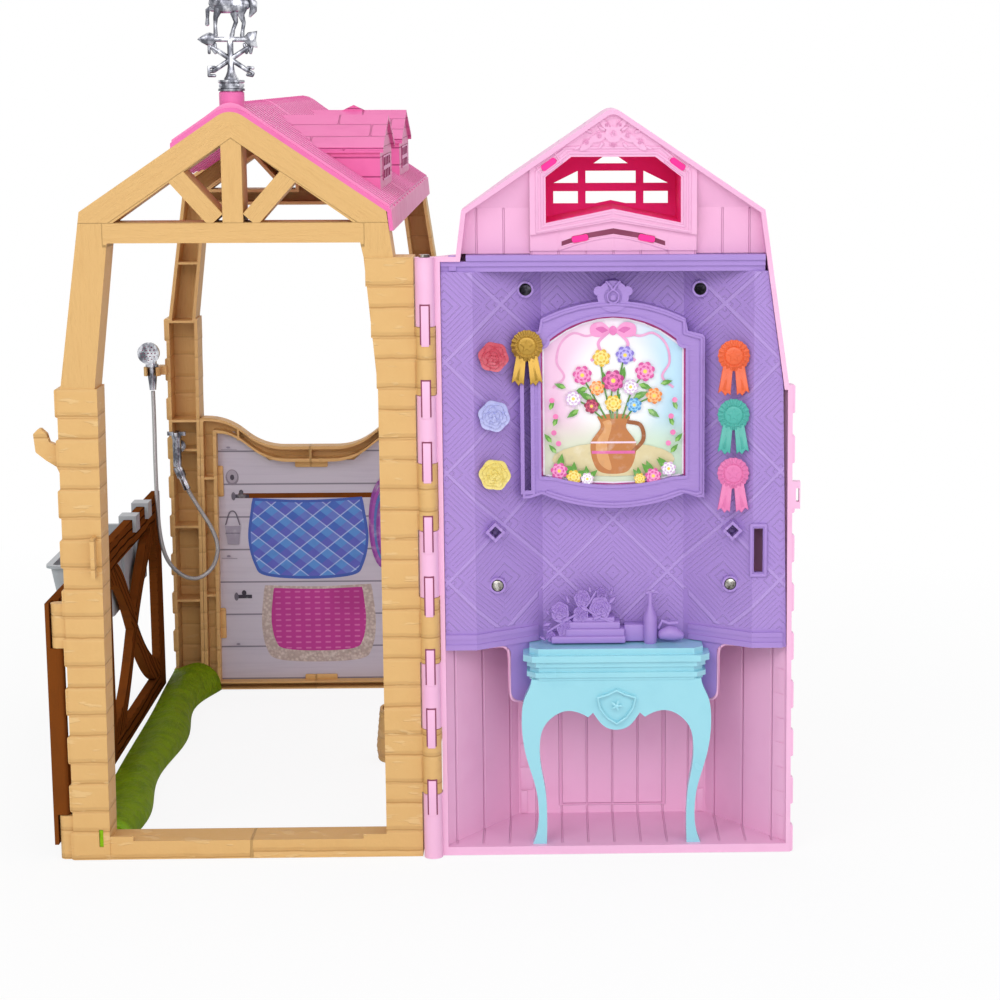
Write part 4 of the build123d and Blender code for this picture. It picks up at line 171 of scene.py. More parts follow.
class Finish:
    """A material built from wires, on the standard surface shader."""

    def __init__(self, name, code, roughness=0.42, metallic=0.0, coat=0.0, shine=0.5):
        self.material = bpy.data.materials.new(name)
        self.tree = empty_tree(self.material)
        self.base = srgb(code)
        self.shader = add_node(self.tree, "ShaderNodeBsdfPrincipled", {
            "Base Color": self.base, "Roughness": roughness, "Metallic": metallic, "Coat Weight": coat,
            "Coat Roughness": 0.15, "Specular IOR Level": shine})
        add_node(self.tree, "ShaderNodeOutputMaterial", {0: self.shader.outputs[0]})
        self.point = add_node(self.tree, "ShaderNodeTexCoord").outputs["Object"]
        parts = add_node(self.tree, "ShaderNodeSeparateXYZ", {0: self.point}).outputs
        self.x, self.y, self.z = [Wire(self.tree, part) for part in parts]

    def feed(self, place, socket):
        self.tree.links.new(socket, self.shader.inputs[place])

    def painted(self, name):
        """Take the base colour from a colour attribute that the mesh carries."""
        self.feed("Base Color", add_node(self.tree, "ShaderNodeAttribute", attribute_name=name).outputs["Color"])

    def noise(self, scale, detail=3.0, where=None):
        node = add_node(self.tree, "ShaderNodeTexNoise", {
            "Vector": where or self.point, "Scale": scale, "Detail": detail, "Roughness": 0.55})
        return Wire(self.tree, node.outputs[0])

    def grain(self, detail, *parts):
        """Noise that is stretched or squeezed by the factors in its three coordinates."""
        node = add_node(self.tree, "ShaderNodeCombineXYZ", dict(enumerate(parts)))
        return self.noise(1.0, detail, node.outputs[0])

    def cells(self, scale):
        node = add_node(self.tree, "ShaderNodeTexVoronoi", {"Vector": self.point, "Scale": scale})
        return Wire(self.tree, node.outputs["Distance"])

    def paint(self, mask, code):
        """Lay another colour over the base colour wherever the mask is 1."""
        under = self.shader.inputs["Base Color"].links
        node = add_node(self.tree, "ShaderNodeMix", {
            0: mask, 6: under[0].from_socket if under else self.base, 7: srgb(code)}, data_type="RGBA")
        self.feed("Base Color", node.outputs[2])

    def rough(self, wire):
        self.feed("Roughness", wire.socket)

    def bump(self, height, distance):
        """Raise the surface by height times distance in metres."""
        node = add_node(self.tree, "ShaderNodeBump", {"Strength": 1.0, "Distance": distance, "Height": height})
        self.feed("Normal", node.outputs[0])


def lines(wire, pitch, width):
    """Thin lines every pitch along a wire: 1 on the line and 0 between."""
    share = width / pitch
    return (wire / pitch).zigzag().ramp(0.5 - 0.65 * share, 0.5 - 0.2 * share)


# %% [markdown]
# ## Tan mouldings
# One tan plastic is moulded as two things. Below, the legs are laid stone with a pitted skin;
# above, posts and rafters have timber grain that runs along each member. The grain is noise
# squeezed across the member and stretched along it.

# %% Timber and stone
STONE_PITCH = 0.0277           # two courses of stone, one tall and one low


def timber_and_stone():
    tan = Finish("tan_plastic", "DAAF71", roughness=0.46, shine=0.25)
    out = abs(tan.x)
    slope = tan.z + out * ROOF_SLOPE
    gable = tan.z.ramp(0.3538, 0.3542)
    rafter = slope.ramp(0.3985, 0.399) * gable
    king = out.fall(0.0054, 0.0057) * gable * (1.0 - rafter)
    strut = gable * (1.0 - rafter) * (1.0 - king)
    collar = out.fall(0.0695, 0.070) * tan.z.ramp(0.341, 0.3425) * (1.0 - gable)
    lying = rafter.highest(collar)
    upright = (1.0 - lying) * (1.0 - strut)
    lean = tan.z - out * 1.1
    across = out * upright + (slope * rafter + tan.z * collar) + lean * strut
    along = tan.z * upright + tan.x * lying + (out + tan.z) * strut
    grain = tan.grain(5.0, across * 420, along * 40, tan.y * 70)
    fine = tan.grain(3.0, across * 1500, along * 160, tan.y * 300)
    right = tan.x.ramp(-0.001, 0.001)
    wobble = tan.noise(55.0, 2.0) * 0.0016
    down = (0.2650 + right * 0.0703 - tan.z + wobble) / STONE_PITCH
    turn = down.fract()
    joint = abs(turn - 0.5632).lowest(turn).lowest(1.0 - turn)
    stone = tan.z.fall(0.2645, 0.2655) * (1.0 - right) + right * tan.z.fall(0.3345, 0.3355)
    stone = stone * (tan.y.fall(0.0105, 0.0108) * 0.4 + 0.6)
    wood = 1.0 - stone
    pits = tan.noise(230.0, 4.0)
    lumps = tan.noise(62.0, 3.0)
    chips = tan.grain(2.0, tan.x * 60, tan.y * 60, tan.z * 240).ramp(0.62, 0.68)
    tan.paint(grain.ramp(0.5, 0.7) * wood * 0.34, "CFA164")
    tan.paint(lumps.ramp(0.46, 0.72) * stone * 0.3, "D3A466")
    tan.paint(joint.fall(0.009, 0.022) * stone * 0.62, "A87A43")
    tan.paint(chips * stone * 0.35, "EBCB95")
    skin_of_stone = pits * 0.3 + lumps * 0.8 + joint.ramp(0.0, 0.09) * 0.9 + chips * 0.3
    tan.bump((grain * 0.8 + fine * 0.5) * wood + skin_of_stone * stone, 0.0008)
    tan.rough(pits * 0.18 + 0.38)
    return tan.material


FINISHES = {"tan_plastic": timber_and_stone()}


# %% [markdown]
# ## Pink facade and roof
# The facade is boarded: fine upright grooves a finger's width apart, cut as bumps because the real
# ones are a fraction of a millimetre deep. The dormers have boards along their slopes, with
# staggered joints; the main slopes get planks of their own further down.

# %% Boards
def facade_boards():
    """Upright boards, but none around the hayloft window, one panel at the back of the bay, and painted shade on the
    gable.
    """
    pink = Finish("shell_pink", "F0B9DA", roughness=0.4)
    u = pink.x - DOOR_X
    around_window = pink.z.ramp(0.3605, 0.3611) * pink.y.fall(0.030, 0.032)
    groove = lines(u, 0.0148, 0.0011) * pink.y.ramp(-0.005, -0.003) * (1.0 - around_window)
    panel = abs((abs(u) - 0.0305).highest(abs(pink.z - 0.054) - 0.044))
    groove = groove.highest(panel.fall(0.0004, 0.0009) * pink.y.ramp(0.046, 0.047))
    mottle = pink.noise(38.0, 2.0)
    # Grooves are dark joints and the mottle is random tone; above 0.33 m, on the gable, the pink is painted darker as
    # shade.
    for mask in (groove * 0.3, pink.z.ramp(0.33, 0.34) * 0.3, mottle.ramp(0.5, 0.8) * 0.16):
        pink.paint(mask, "D98CBB")
    pink.bump(-groove + pink.noise(420.0, 2.0) * 0.06, 0.0006)
    pink.rough(mottle * 0.14 + 0.32)
    return pink.material


def roof_boards():
    """Boards along the dormers, with staggered joints on their slopes."""
    pink = Finish("roof_pink", "E46AA8", roughness=0.4, shine=0.4)
    above = pink.z + abs(pink.x) * ROOF_SLOPE - 0.4182
    dormer = above.ramp(0.0006, 0.0010) * pink.x.ramp(0.008, 0.009)
    side = dormer * pink.z.fall(0.3898, 0.3902)
    slope = dormer - side
    board = (pink.y * (1.0 - dormer) + pink.z * 1.9 * slope + pink.z * 1.1 * side) / 0.0118
    near = board.zigzag()
    end = (pink.x * 1.2 / 0.062 + (board.floor() * 0.37).fract()).zigzag()
    joint = (end + near.ramp(0.34, 0.5) * 0.014).ramp(0.489, 0.496)
    groove = (near.ramp(0.455, 0.49) * dormer).highest(joint * slope)
    grain = pink.grain(3.0, pink.x * 60, pink.y * 60, pink.z * 60)
    pink.paint(groove * 0.6, "BE3A80")
    pink.paint(grain.ramp(0.45, 0.8) * 0.2, "BE3A80")
    pink.bump(-groove + grain * 0.15, 0.0009)
    pink.rough(grain * 0.16 + 0.32)
    return pink.material


def dormer_lattice():
    """Pale bars in front; everything behind their faces is magenta painted darker as shade."""
    pink = Finish("lattice_pink", "A3235F", roughness=0.5, shine=0.2)
    # Painted shade: only the bars' front faces are pale; all behind them is dark magenta.
    pink.paint(pink.x.ramp(0.07505, 0.07515), "F0A9D0")
    pink.bump(pink.noise(420.0, 2.0), 0.0001)
    return pink.material


FINISHES["shell_pink"] = facade_boards()
FINISHES["roof_pink"] = roof_boards()
FINISHES["lattice_pink"] = dormer_lattice()


# %% [markdown]
# ## Purple wallpaper
# The wall is embossed with a lattice of nested diamonds and hatched fields. A square grid is
# turned by 45 degrees; inside each diamond the distance from its middle is cut into rings, and
# between the diamonds the hatching runs one way or the other.

# %% Embossed wallpaper
def wallpaper():
    wall = Finish("purple_plastic", "A687CC", roughness=0.5, shine=0.35)
    pitch = 0.0305
    u = wall.x - DOOR_X
    v = wall.z - 0.1865
    reach = (u / pitch + 0.5).zigzag() + (v / pitch + 0.5).zigzag()
    rings = (reach * 7.0).zigzag().ramp(0.40, 0.46)
    inside = reach.fall(0.385, 0.395)
    turn = (((u / pitch).floor() + (v / pitch).floor()) * 0.5).fract().ramp(0.2, 0.3)
    hatch_up, hatch_down = [(way / 0.0031).zigzag().ramp(0.38, 0.46) for way in (u + v, u - v)]
    hatch = hatch_up * turn + hatch_down * (1.0 - turn)
    cross_up, cross_down = [(way / (pitch * 2)).zigzag().ramp(0.47, 0.485) for way in (u + v, u - v)]
    pattern = (rings * inside).highest(hatch * (1.0 - inside) * 0.6).highest(cross_up.highest(cross_down))
    field = wall.y.ramp(-0.0090, -0.0082) * wall.z.ramp(0.128, 0.129) * wall.z.fall(0.3265, 0.3269)
    framed = abs(u).fall(0.0518, 0.0522) * abs(wall.z - 0.257).fall(0.0655, 0.0660) * wall.y.fall(0.0050, 0.0054)
    shelf = abs(u).fall(0.0420, 0.0424) * wall.z.fall(0.1465, 0.1470) * wall.y.fall(0.0166, 0.0170)
    pattern = pattern * field * (1.0 - framed.highest(shelf))
    brushed = wall.grain(3.0, wall.x * 70, wall.y * 70, wall.z * 900) * framed
    wall.paint(pattern * 0.42, "BBA0DC")
    wall.paint(wall.noise(26.0, 2.0).ramp(0.48, 0.8) * 0.18, "8A6BB5")
    wall.bump(pattern * 0.75 + brushed * 0.5 + wall.noise(600.0, 2.0) * 0.08, 0.0005)
    wall.rough(pattern * 0.06 + 0.42)
    return wall.material


FINISHES["purple_plastic"] = wallpaper()


# %% [markdown]
# ## Rustic gate, grass and the small mouldings
# The gate imitates weathered boards with carved cracks, so a stretched and bent wave darkens
# and sinks the colour. Grass is clumped noise, painted brighter low at the front, as light through the thin moulding.

# %% Gate, grass and plain plastics
def rustic_boards():
    wood = Finish("brown_plastic", "784119", roughness=0.6, shine=0.0)
    bend = wood.noise(15.0, 2.0)
    stile = abs(wood.y - 0.150).fall(0.0105, 0.0115)
    stile = stile.highest(wood.y.fall(0.013, 0.014)).highest(wood.y.ramp(0.331, 0.332))
    brace = wood.z.ramp(0.0208, 0.0212) * wood.z.fall(0.1285, 0.1290) * (1.0 - stile)
    near = wood.y.fall(0.1495, 0.1505)
    middle = 0.0755 * near + 0.2460 * (1.0 - near)
    lean = abs(abs(wood.y - middle) * 0.72 - abs(wood.z - 0.075))
    rail = (1.0 - stile) * (1.0 - brace)
    across = wood.y * stile + wood.z * rail + lean * brace
    cracks = lines(across + bend * 0.009, 0.0056, 0.0011) * abs(wood.x + 0.10705).ramp(0.0024, 0.0026)
    grain = wood.grain(4.0, wood.x * 60, across * 900, (wood.y + wood.z) * 30)
    wood.paint(grain.ramp(0.42, 0.7) * 0.4, "5C351B")
    wood.paint(cracks * 0.8, "29160A")
    wood.bump(grain * 0.4 - cracks * 1.2, 0.0012)
    wood.rough(grain * 0.2 + 0.45)
    return wood.material


def grass():
    turf = Finish("grass_plastic", "7C9A0C", roughness=0.6, shine=0.1)
    clumps = turf.noise(120.0, 4.0)
    blades = turf.grain(3.0, turf.x * 700, turf.y * 300, turf.z * 240)
    turf.paint(clumps.ramp(0.42, 0.66) * 0.5, "5B7A08")
    # Painted light: the low front edge is painted brighter, as light through the thin moulding.
    turf.paint((turf.y + turf.z * 0.4).fall(0.022, 0.034) * 0.9, "8CC21C")
    turf.bump(clumps + blades * 0.5 - turf.cells(85.0) * 0.9, 0.0022)
    turf.rough(blades * 0.3 + 0.4)
    return turf.material


def plain(name, code, shade, rough=0.38, coat=0.0, metallic=0.0):
    """A moulded plastic with faint flow marks, so that it is never one flat colour."""
    paint = Finish(name, code, roughness=rough, metallic=metallic, coat=coat)
    flow = paint.noise(34.0, 3.0)
    paint.paint(flow.ramp(0.45, 0.78) * 0.28, shade)
    paint.bump(flow * 0.5 + paint.noise(520.0, 2.0) * 0.05, 0.0003)
    paint.rough(flow * 0.16 + (rough - 0.08))
    return paint.material


def plated(name, code, dark, bright):
    """Thin plating over plastic: soft dark and bright clouds stand for the room it mirrors."""
    metal = Finish(name, code, roughness=0.24, metallic=1.0)
    clouds = metal.grain(2.0, metal.x * 260, metal.y * 90, metal.z * 150)
    metal.paint(clouds.ramp(0.46, 0.6) * 0.85, dark)
    metal.paint((1.0 - clouds).ramp(0.54, 0.66) * 0.8, bright)
    metal.bump(clouds * 0.6 + metal.noise(500.0, 2.0) * 0.06, 0.0004)
    metal.rough(clouds * 0.2 + 0.16)
    return metal.material


FINISHES["brown_plastic"] = rustic_boards()
FINISHES["plated_plastic"] = plated("plated_plastic", "A3A4AC", "55565E", "E2E3E8")
FINISHES["steel"] = plated("steel", "96928C", "4A4641", "D6D3CE")
FINISHES["grass_plastic"] = grass()
for name, code, shade, rough, coat, metallic in (
        ("magenta_plastic", "C42C72", "9A1B55", 0.28, 0.3, 0.0),
        ("aqua_plastic", "97D5E2", "7CC1D4", 0.24, 0.4, 0.0),
        ("grey_plastic", "A9AFB2", "878F94", 0.36, 0.1, 0.0),
        ("gold_plastic", "B08931", "82611A", 0.34, 0.2, 0.55),
        ("orange_plastic", "E65F2A", "C44817", 0.34, 0.2, 0.0),
        ("teal_plastic", "44AB9F", "2D8A80", 0.34, 0.2, 0.0),
        ("ribbon_pink_plastic", "DF73AC", "C65693", 0.34, 0.2, 0.0),
        ("red_plastic", "CB5466", "AC3C4E", 0.38, 0.1, 0.0),
        ("lavender_plastic", "B4B6E2", "9598CC", 0.38, 0.1, 0.0),
        ("yellow_plastic", "E6D37A", "CDB758", 0.38, 0.1, 0.0)):
    FINISHES[name] = plain(name, code, shade, rough, coat, metallic)


# %% [markdown]
# ## Hose
# The shower's hose is a wound metal sleeve. Its route hangs from the shower's foot, loops low
# over the gate and climbs back to the tap, and its line is one smooth spline through the air.

# %% Hose
HOSE_ROUTE = ((-106.5, 366.0, 215.7), (-105.0, 358.0, 196.7), (-103.4, 346.0, 172.0), (-101.6, 336.0, 146.0),
              (-99.6, 331.0, 117.0), (-94.2, 335.0, 97.7), (-80.4, 345.0, 85.2), (-68.0, 354.0, 90.7),
              (-63.0, 358.0, 105.8), (-67.9, 360.0, 120.1), (-77.0, 362.0, 134.0), (-84.6, 363.6, 147.0))


def wound_sleeve():
    sleeve = Finish("hose_grey", "A9A8A6", roughness=0.34, metallic=0.75)
    winds = ((sleeve.z + sleeve.x * 0.55 + sleeve.y * 0.3) / 0.0011).zigzag()
    sleeve.paint(winds.ramp(0.3, 0.5) * 0.5, "77757A")
    sleeve.bump(winds, 0.0003)
    return sleeve.material


FINISHES["hose_grey"] = wound_sleeve()
curve = bpy.data.curves.new("hose_line", "CURVE")
curve.dimensions = "3D"
curve.bevel_depth = 0.0014
curve.bevel_resolution = 5
curve.resolution_u = 14
curve.use_fill_caps = True
spline = curve.splines.new("NURBS")
spline.points.add(len(HOSE_ROUTE) - 1)
for knot, place in zip(spline.points, HOSE_ROUTE):
    knot.co = (*at(*place), 1.0)
spline.order_u = 3
spline.use_endpoint_u = True
hose = place_object("hose", curve)
curve.materials.append(FINISHES["hose_grey"])
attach(hose, "barn")
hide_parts("shower_hose")
tuple(at(*HOSE_ROUTE[0]))


# %% [markdown]
# ## Finishes on the solids
# Each solid takes the finish that its record names, apart from the hayloft window, which sits in shade:
# its magenta is painted brighter than the other magenta parts, as painted light, and is duller.

# %% Finishes on the solids
def printed_card():
    """Greyish boards printed on card, each board with its own shade and a dark joint."""
    card = Finish("printed_card", "C6C0CD", roughness=0.35)
    board = (card.z - 0.006) / 0.0235
    grain = card.grain(4.0, card.x * 22, card.y, card.z * 420)
    tone = (board.floor() * 12.9898).sin()
    card.paint(grain.ramp(0.4, 0.75) * 0.35, "A9A2B4")
    card.paint((tone * 0.5 + 0.5) * 0.2, "DAD6DF")
    card.paint(board.zigzag().ramp(0.465, 0.49) * 0.8, "5D5868")
    card.rough(grain * 0.1 + 0.3)
    return card.material


def picture_sky():
    """Soft printed sky, pink at the left, blue at the right and white in the middle."""
    sky = Finish("picture_print", "F4E9F1", roughness=0.3)
    u = sky.x - DOOR_X
    v = sky.z - 0.262
    sky.paint((-u).ramp(-0.006, 0.036) * 0.75, "EDB6D9")
    sky.paint(u.ramp(-0.002, 0.036) * 0.8, "A9DDF0")
    sky.paint((u * u * 620 + v * v * 520).fall(0.0, 0.62), "FFFFFF")
    sky.paint(v.fall(-0.034, -0.012) * 0.7, "CFE3B6")
    sky.rough(sky.noise(40.0, 2.0) * 0.08 + 0.26)
    return sky.material


# Painted light: the hayloft window sits in shade, so its magenta is painted brighter than the other magenta parts.
def hayloft_magenta_lit():
    magenta = Finish("hayloft_magenta_lit", "FF3F9A", roughness=0.6, shine=0.05)
    magenta.paint(magenta.noise(34.0, 3.0).ramp(0.45, 0.78) * 0.3, "E02E83")
    magenta.bump(magenta.noise(520.0, 2.0), 0.0001)
    return magenta.material


FINISHES["printed_card"] = printed_card()
FINISHES["picture_print"] = picture_sky()
HAYLOFT_LIT = hayloft_magenta_lit()
for part in frame["record"]["subparts"]:
    solid = nodes.get(part["node"])
    if solid is None:
        continue
    finish = HAYLOFT_LIT if part["node"] == "hayloft_window" else FINISHES.get(part["material_slot"])
    for holder in solid.material_slots:
        holder.material = finish
    if not solid.material_slots:
        solid.data.materials.append(finish)
print("finishes:", len(FINISHES))


# %% [markdown]
# ## Shapes for the fine pieces
# Most of the small mouldings are reliefs: flat at the back, with a surface that rises and falls in
# front. One helper raises a round relief from two formulas, one extrudes an outline, and one runs
# a tapered limb through a few balls, the way a modeller rolls clay. All of them join loops of
# points into a skin.

# %% Helpers for small pieces
def outward_mesh(name, shape):
    """Turn a bmesh into a mesh whose faces look outwards."""
    bmesh.ops.recalc_face_normals(shape, faces=shape.faces)
    mesh = bpy.data.meshes.new(name)
    shape.to_mesh(mesh)
    shape.free()
    return mesh


def add_mesh(name, mesh, body, slot, hides=(), crease=38.0, finish=None):
    """Shade a mesh smoothly up to the crease angle and let it ride on a body."""
    mesh.materials.clear()
    mesh.materials.append(finish or FINISHES[slot])
    mesh.shade_smooth()
    mesh.set_sharp_from_angle(angle=math.radians(crease))
    piece = place_object(name, mesh)
    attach(piece, body)
    if hides:
        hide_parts(*hides)


def add_piece(name, shape, *rest, **more):
    add_mesh(name, outward_mesh(name, shape), *rest, **more)


def on_facade(u, depth, z):
    """A place on the open facade, measured from its middle, in millimetres."""
    return at(DOOR_X / MM + u, depth, z)


def turns(count, start=0.0):
    """Evenly spaced angles around a circle."""
    return [2 * math.pi * (number + start) / count for number in range(count)]


def leaned(points, x, z, lean, size=1.0):
    """Points scaled, turned by an angle in degrees and moved to (x, z)."""
    cos, sin = math.cos(math.radians(lean)) * size, math.sin(math.radians(lean)) * size
    return [(x + px * cos - pz * sin, z + px * sin + pz * cos) for px, pz in points]


def skin(shape, loops, ends=True):
    """Join loops of points into a tube, and close its two ends."""
    for lower, upper in zip(loops, loops[1:]):
        for place in range(len(lower)):
            after = (place + 1) % len(lower)
            shape.faces.new((lower[place], lower[after], upper[after], upper[place]))
    if ends:
        shape.faces.new(loops[0])
        shape.faces.new(loops[-1])


def disc(shape, centre, edge, height, rings, spokes):
    """Raise a round relief that faces the front; edge and height are formulas in millimetres."""
    def point(radius, turn, lift):
        return shape.verts.new(centre + Vector((radius * math.cos(turn), -lift, radius * math.sin(turn))) * MM)
    circle = turns(spokes)
    top = point(0, 0, height(0.0, 0.0))
    loops = [[point(edge(turn) * share, turn, height(share, turn)) for turn in circle]
             for share in [ring / rings for ring in range(1, rings + 1)]]
    loops.append([point(edge(turn), turn, 0.0) for turn in circle])
    skin(shape, loops, False)
    for tip, loop in ((top, loops[0]), (point(0, 0, 0.0), loops[-1])):
        for spoke in range(spokes):
            shape.faces.new((tip, loop[spoke], loop[(spoke + 1) % spokes]))


def slab(shape, outline, place, thick, rim=0.0):
    """Extrude an outline of (across, up) points towards the front, with a narrow slanted rim."""
    middle = Vector((sum(p[0] for p in outline), sum(p[1] for p in outline))) / len(outline)

    def loop(lift, inset):
        points = []
        for across, up in outline:
            inward = middle - Vector((across, up))
            shift = inward.normalized() * inset if inward.length > inset else inward * 0
            points.append(shape.verts.new(place(across + shift.x, lift, up + shift.y)))
        return points
    skin(shape, [loop(0.0, 0.0), loop(thick - rim, 0.0)] + ([loop(thick, rim)] if rim else []))


def limb(shape, balls, sides=12, flat=1.0):
    """Run a closed tapered limb through balls given as (place, radius)."""
    path = [place for place, _ in balls]
    loops = []
    for number, (place, radius) in enumerate(balls):
        before = path[max(number - 1, 0)]
        after = path[min(number + 1, len(path) - 1)]
        along = (after - before).normalized()
        side = along.cross(Vector((0, 1, 0)))
        side = side.normalized() if side.length > 1e-6 else Vector((1, 0, 0))
        other = along.cross(side).normalized() * flat
        ends = [(0.0, 1.0)]
        if number == 0:
            ends = [(-0.9, 0.35), (-0.6, 0.8), (0.0, 1.0)]
        if number == len(balls) - 1:
            ends = [(0.0, 1.0), (0.6, 0.8), (0.9, 0.35)]
        for shift, share in ends:
            loops.append([shape.verts.new(place + along * shift * radius + (side * math.cos(turn)
                                          + other * math.sin(turn)) * radius * share) for turn in turns(sides)])
    skin(shape, loops)


def block(shape, low, high, soft=0.0):
    """A box between two corners in metres, with its edges softened."""
    made = bmesh.ops.create_cube(shape, size=1.0)["verts"]
    for vertex in made:
        vertex.co = [a + (share + 0.5) * (b - a) for a, b, share in zip(low, high, vertex.co)]
    if soft:
        edges = {edge for vertex in made for edge in vertex.link_edges}
        bmesh.ops.bevel(shape, geom=list(edges), offset=soft, segments=2, profile=0.5, affect="EDGES")


# %% [markdown]
# ## Repeated shapes with Geometry Nodes
# Beads, screws and spray holes are one small shape repeated. A node tree puts the shape on every
# point of a carrier mesh, makes the copies real and gives them their finish; the result is baked
# into one ordinary mesh.

# %% A tree that repeats a shape
def repeat_tree():
    tree = bpy.data.node_groups.new("repeat_shape", "GeometryNodeTree")
    keys = {name: tree.interface.new_socket(name, in_out="INPUT", socket_type="NodeSocket" + kind).identifier
            for name, kind in (("Places", "Geometry"), ("Shape", "Object"), ("Finish", "Material"))}
    tree.interface.new_socket("Result", in_out="OUTPUT", socket_type="NodeSocketGeometry")
    given = add_node(tree, "NodeGroupInput").outputs
    shape = add_node(tree, "GeometryNodeObjectInfo", {"Object": given["Shape"]}).outputs["Geometry"]
    copies = add_node(tree, "GeometryNodeInstanceOnPoints", {"Points": given["Places"], "Instance": shape})
    real = add_node(tree, "GeometryNodeRealizeInstances", {"Geometry": copies.outputs["Instances"]})
    finish = add_node(tree, "GeometryNodeSetMaterial", {
        "Geometry": real.outputs["Geometry"], "Material": given["Finish"]})
    add_node(tree, "NodeGroupOutput", {"Result": finish.outputs["Geometry"]})
    return tree, keys


REPEAT, REPEAT_KEYS = repeat_tree()


def repeat(name, shape, places, body, slot, hides=(), finish=None):
    """Bake copies of a small shape at the given places into one mesh."""
    pattern = place_object(name + "_shape", outward_mesh(name + "_shape", shape))
    carrier_mesh = bpy.data.meshes.new(name + "_places")
    carrier_mesh.from_pydata([tuple(place) for place in places], [], [])
    carrier = place_object(name + "_places", carrier_mesh)
    step = carrier.modifiers.new("repeat", "NODES")
    step.node_group = REPEAT
    step[REPEAT_KEYS["Shape"]] = pattern
    step[REPEAT_KEYS["Finish"]] = finish or FINISHES[slot]
    bpy.context.view_layer.update()
    graph = bpy.context.evaluated_depsgraph_get()
    mesh = bpy.data.meshes.new_from_object(carrier.evaluated_get(graph))
    bpy.data.objects.remove(carrier)
    bpy.data.objects.remove(pattern)
    mesh.name = name
    add_mesh(name, mesh, body, slot, hides, finish=finish)


# %% [markdown]
# ## Roses
# Each rose is one moulded relief. Rings of petals step down from the bud, every petal rises to a
# curled lip and dips where it meets its neighbour, and the edge follows the outermost petals.

# %% Three roses
PETAL_RINGS = ((0.16, 2, 0.3), (0.34, 3, 1.1), (0.54, 4, 0.2), (0.76, 5, 0.9), (1.0, 6, 0.0))
PEG = 0.0019                   # radius of the peg that goes into a socket


def rose_height(share, turn, tall):
    inner = 0.0
    for number, (outer, petals, start) in enumerate(PETAL_RINGS):
        wave = math.cos(petals * turn + start)
        limit = outer + (0.035 * wave if outer < 1 else 0.05)
        if share <= limit or number == len(PETAL_RINGS) - 1:
            along = min(max((share - inner) / max(limit - inner, 0.02), 0.0), 1.0)
            level = 1.0 - 0.155 * number
            seam = 0.10 * math.exp(-((1 + wave) / 0.12) ** 2)
            fold = 0.03 * math.cos(3 * petals * turn + start * 2)
            return tall * (level - 0.14 + 0.16 * along ** 2 - seam + fold * along)
        inner = limit


def rose(shape, centre, radius, tall, spin, rings=46, spokes=96, wave=0.045, base=0.0):
    disc(shape, centre, lambda turn: radius * (1.0 - wave + wave * math.cos(6 * (turn + spin))),
         lambda share, turn: base + rose_height(share, turn + spin, tall), rings, spokes)


for z, name, size, spin in zip(SOCKET_ROWS, ("red", "lavender", "yellow"), (8.4, 8.8, 8.8), (0.2, 1.3, 2.2)):
    shape = bmesh.new()
    rose(shape, on_facade(-SOCKETS_OUT, 3.3, z), size, 4.2, spin)
    limb(shape, [(on_facade(-SOCKETS_OUT, depth, z), PEG) for depth in (3.6, 10.6)], 8)
    add_piece("rose_petals_" + name, shape, name + "_knob", name + "_plastic", ("rose_" + name,), 60.0)
print("roses: 3")


# %% [markdown]
# ## Prize ribbons
# A ribbon is a pleated rosette with a ring of beads around a medal and two notched tails. The
# pleats are a cosine around the rim. The medal carries a plain star.

# %% Four ribbons
TAIL = ((-5.8, -5.0), (-8.6, -20.4), (-6.7, -19.3), (-4.7, -22.0), (-3.2, -20.4), (-1.7, -21.6), (-0.5, -6.0))
TAIL_FOLD = ((-3.6, -8.0), (-5.9, -18.4), (-4.6, -19.2), (-2.9, -8.2))
BEADS = 18


def star(turn):
    """How far out a five-pointed star reaches, as a share of the rosette."""
    wedge = 2 * math.pi / 5
    off = abs((turn - math.pi / 2 + wedge / 2) % wedge - wedge / 2)
    return 0.20 / (math.cos(off) * 0.45 + math.sin(off) * 1.05)


def medal(share, turn):
    """Height of a rosette: a star on a medal, the ring under the beads, then the pleats."""
    if share < 0.57:
        lift = 2.55 + 0.35 * min(max((star(turn) - share) / 0.03, 0.0), 1.0)
        return lift - 0.25 * (share / 0.57) ** 6
    if share < 0.62:
        return 2.0
    if share < 0.76:
        return 2.25
    return 2.15 + 0.32 * math.cos(18 * turn) - 1.1 * (share - 0.76) / 0.24


def prize(name, body, slot, hides, u, z, back):
    """One ribbon: rosette, tails, peg and beads."""
    shape = bmesh.new()
    centre = on_facade(u, back, z)
    disc(shape, centre, lambda turn: 8.62 + 0.18 * math.cos(18 * turn), medal, 40, 144)
    for side in (1, -1):
        for outline, thick in ((TAIL, 1.55), (TAIL_FOLD, 1.8)):
            slab(shape, [(side * x, y) for x, y in outline],
                 lambda across, lift, up: centre + Vector((across, -lift, up)) * MM, thick, 0.35)
    limb(shape, [(centre + Vector((0, back_in, 0)), PEG) for back_in in (0.0003, 0.0073)], 8)
    add_piece(name, shape, body, slot, hides, 50.0)
    bead = bmesh.new()
    bmesh.ops.create_icosphere(bead, subdivisions=2, radius=0.00072)
    ring = [centre + Vector((5.95 * math.cos(turn), -2.2, 5.95 * math.sin(turn))) * MM for turn in turns(BEADS)]
    repeat(name + "_beads", bead, ring, body, slot)


for z, name in zip(SOCKET_ROWS, ("orange", "teal", "pink")):
    slot = "ribbon_pink_plastic" if name == "pink" else name + "_plastic"
    prize("prize_" + name, name + "_prize", slot, ("ribbon_" + name,), SOCKETS_OUT, z, 3.3)
prize("prize_gold", "gold_slider", "gold_plastic", ("gold_ribbon",), -47.3, 285.8, 13.3)
print("ribbons: 4, beads:", 4 * BEADS)


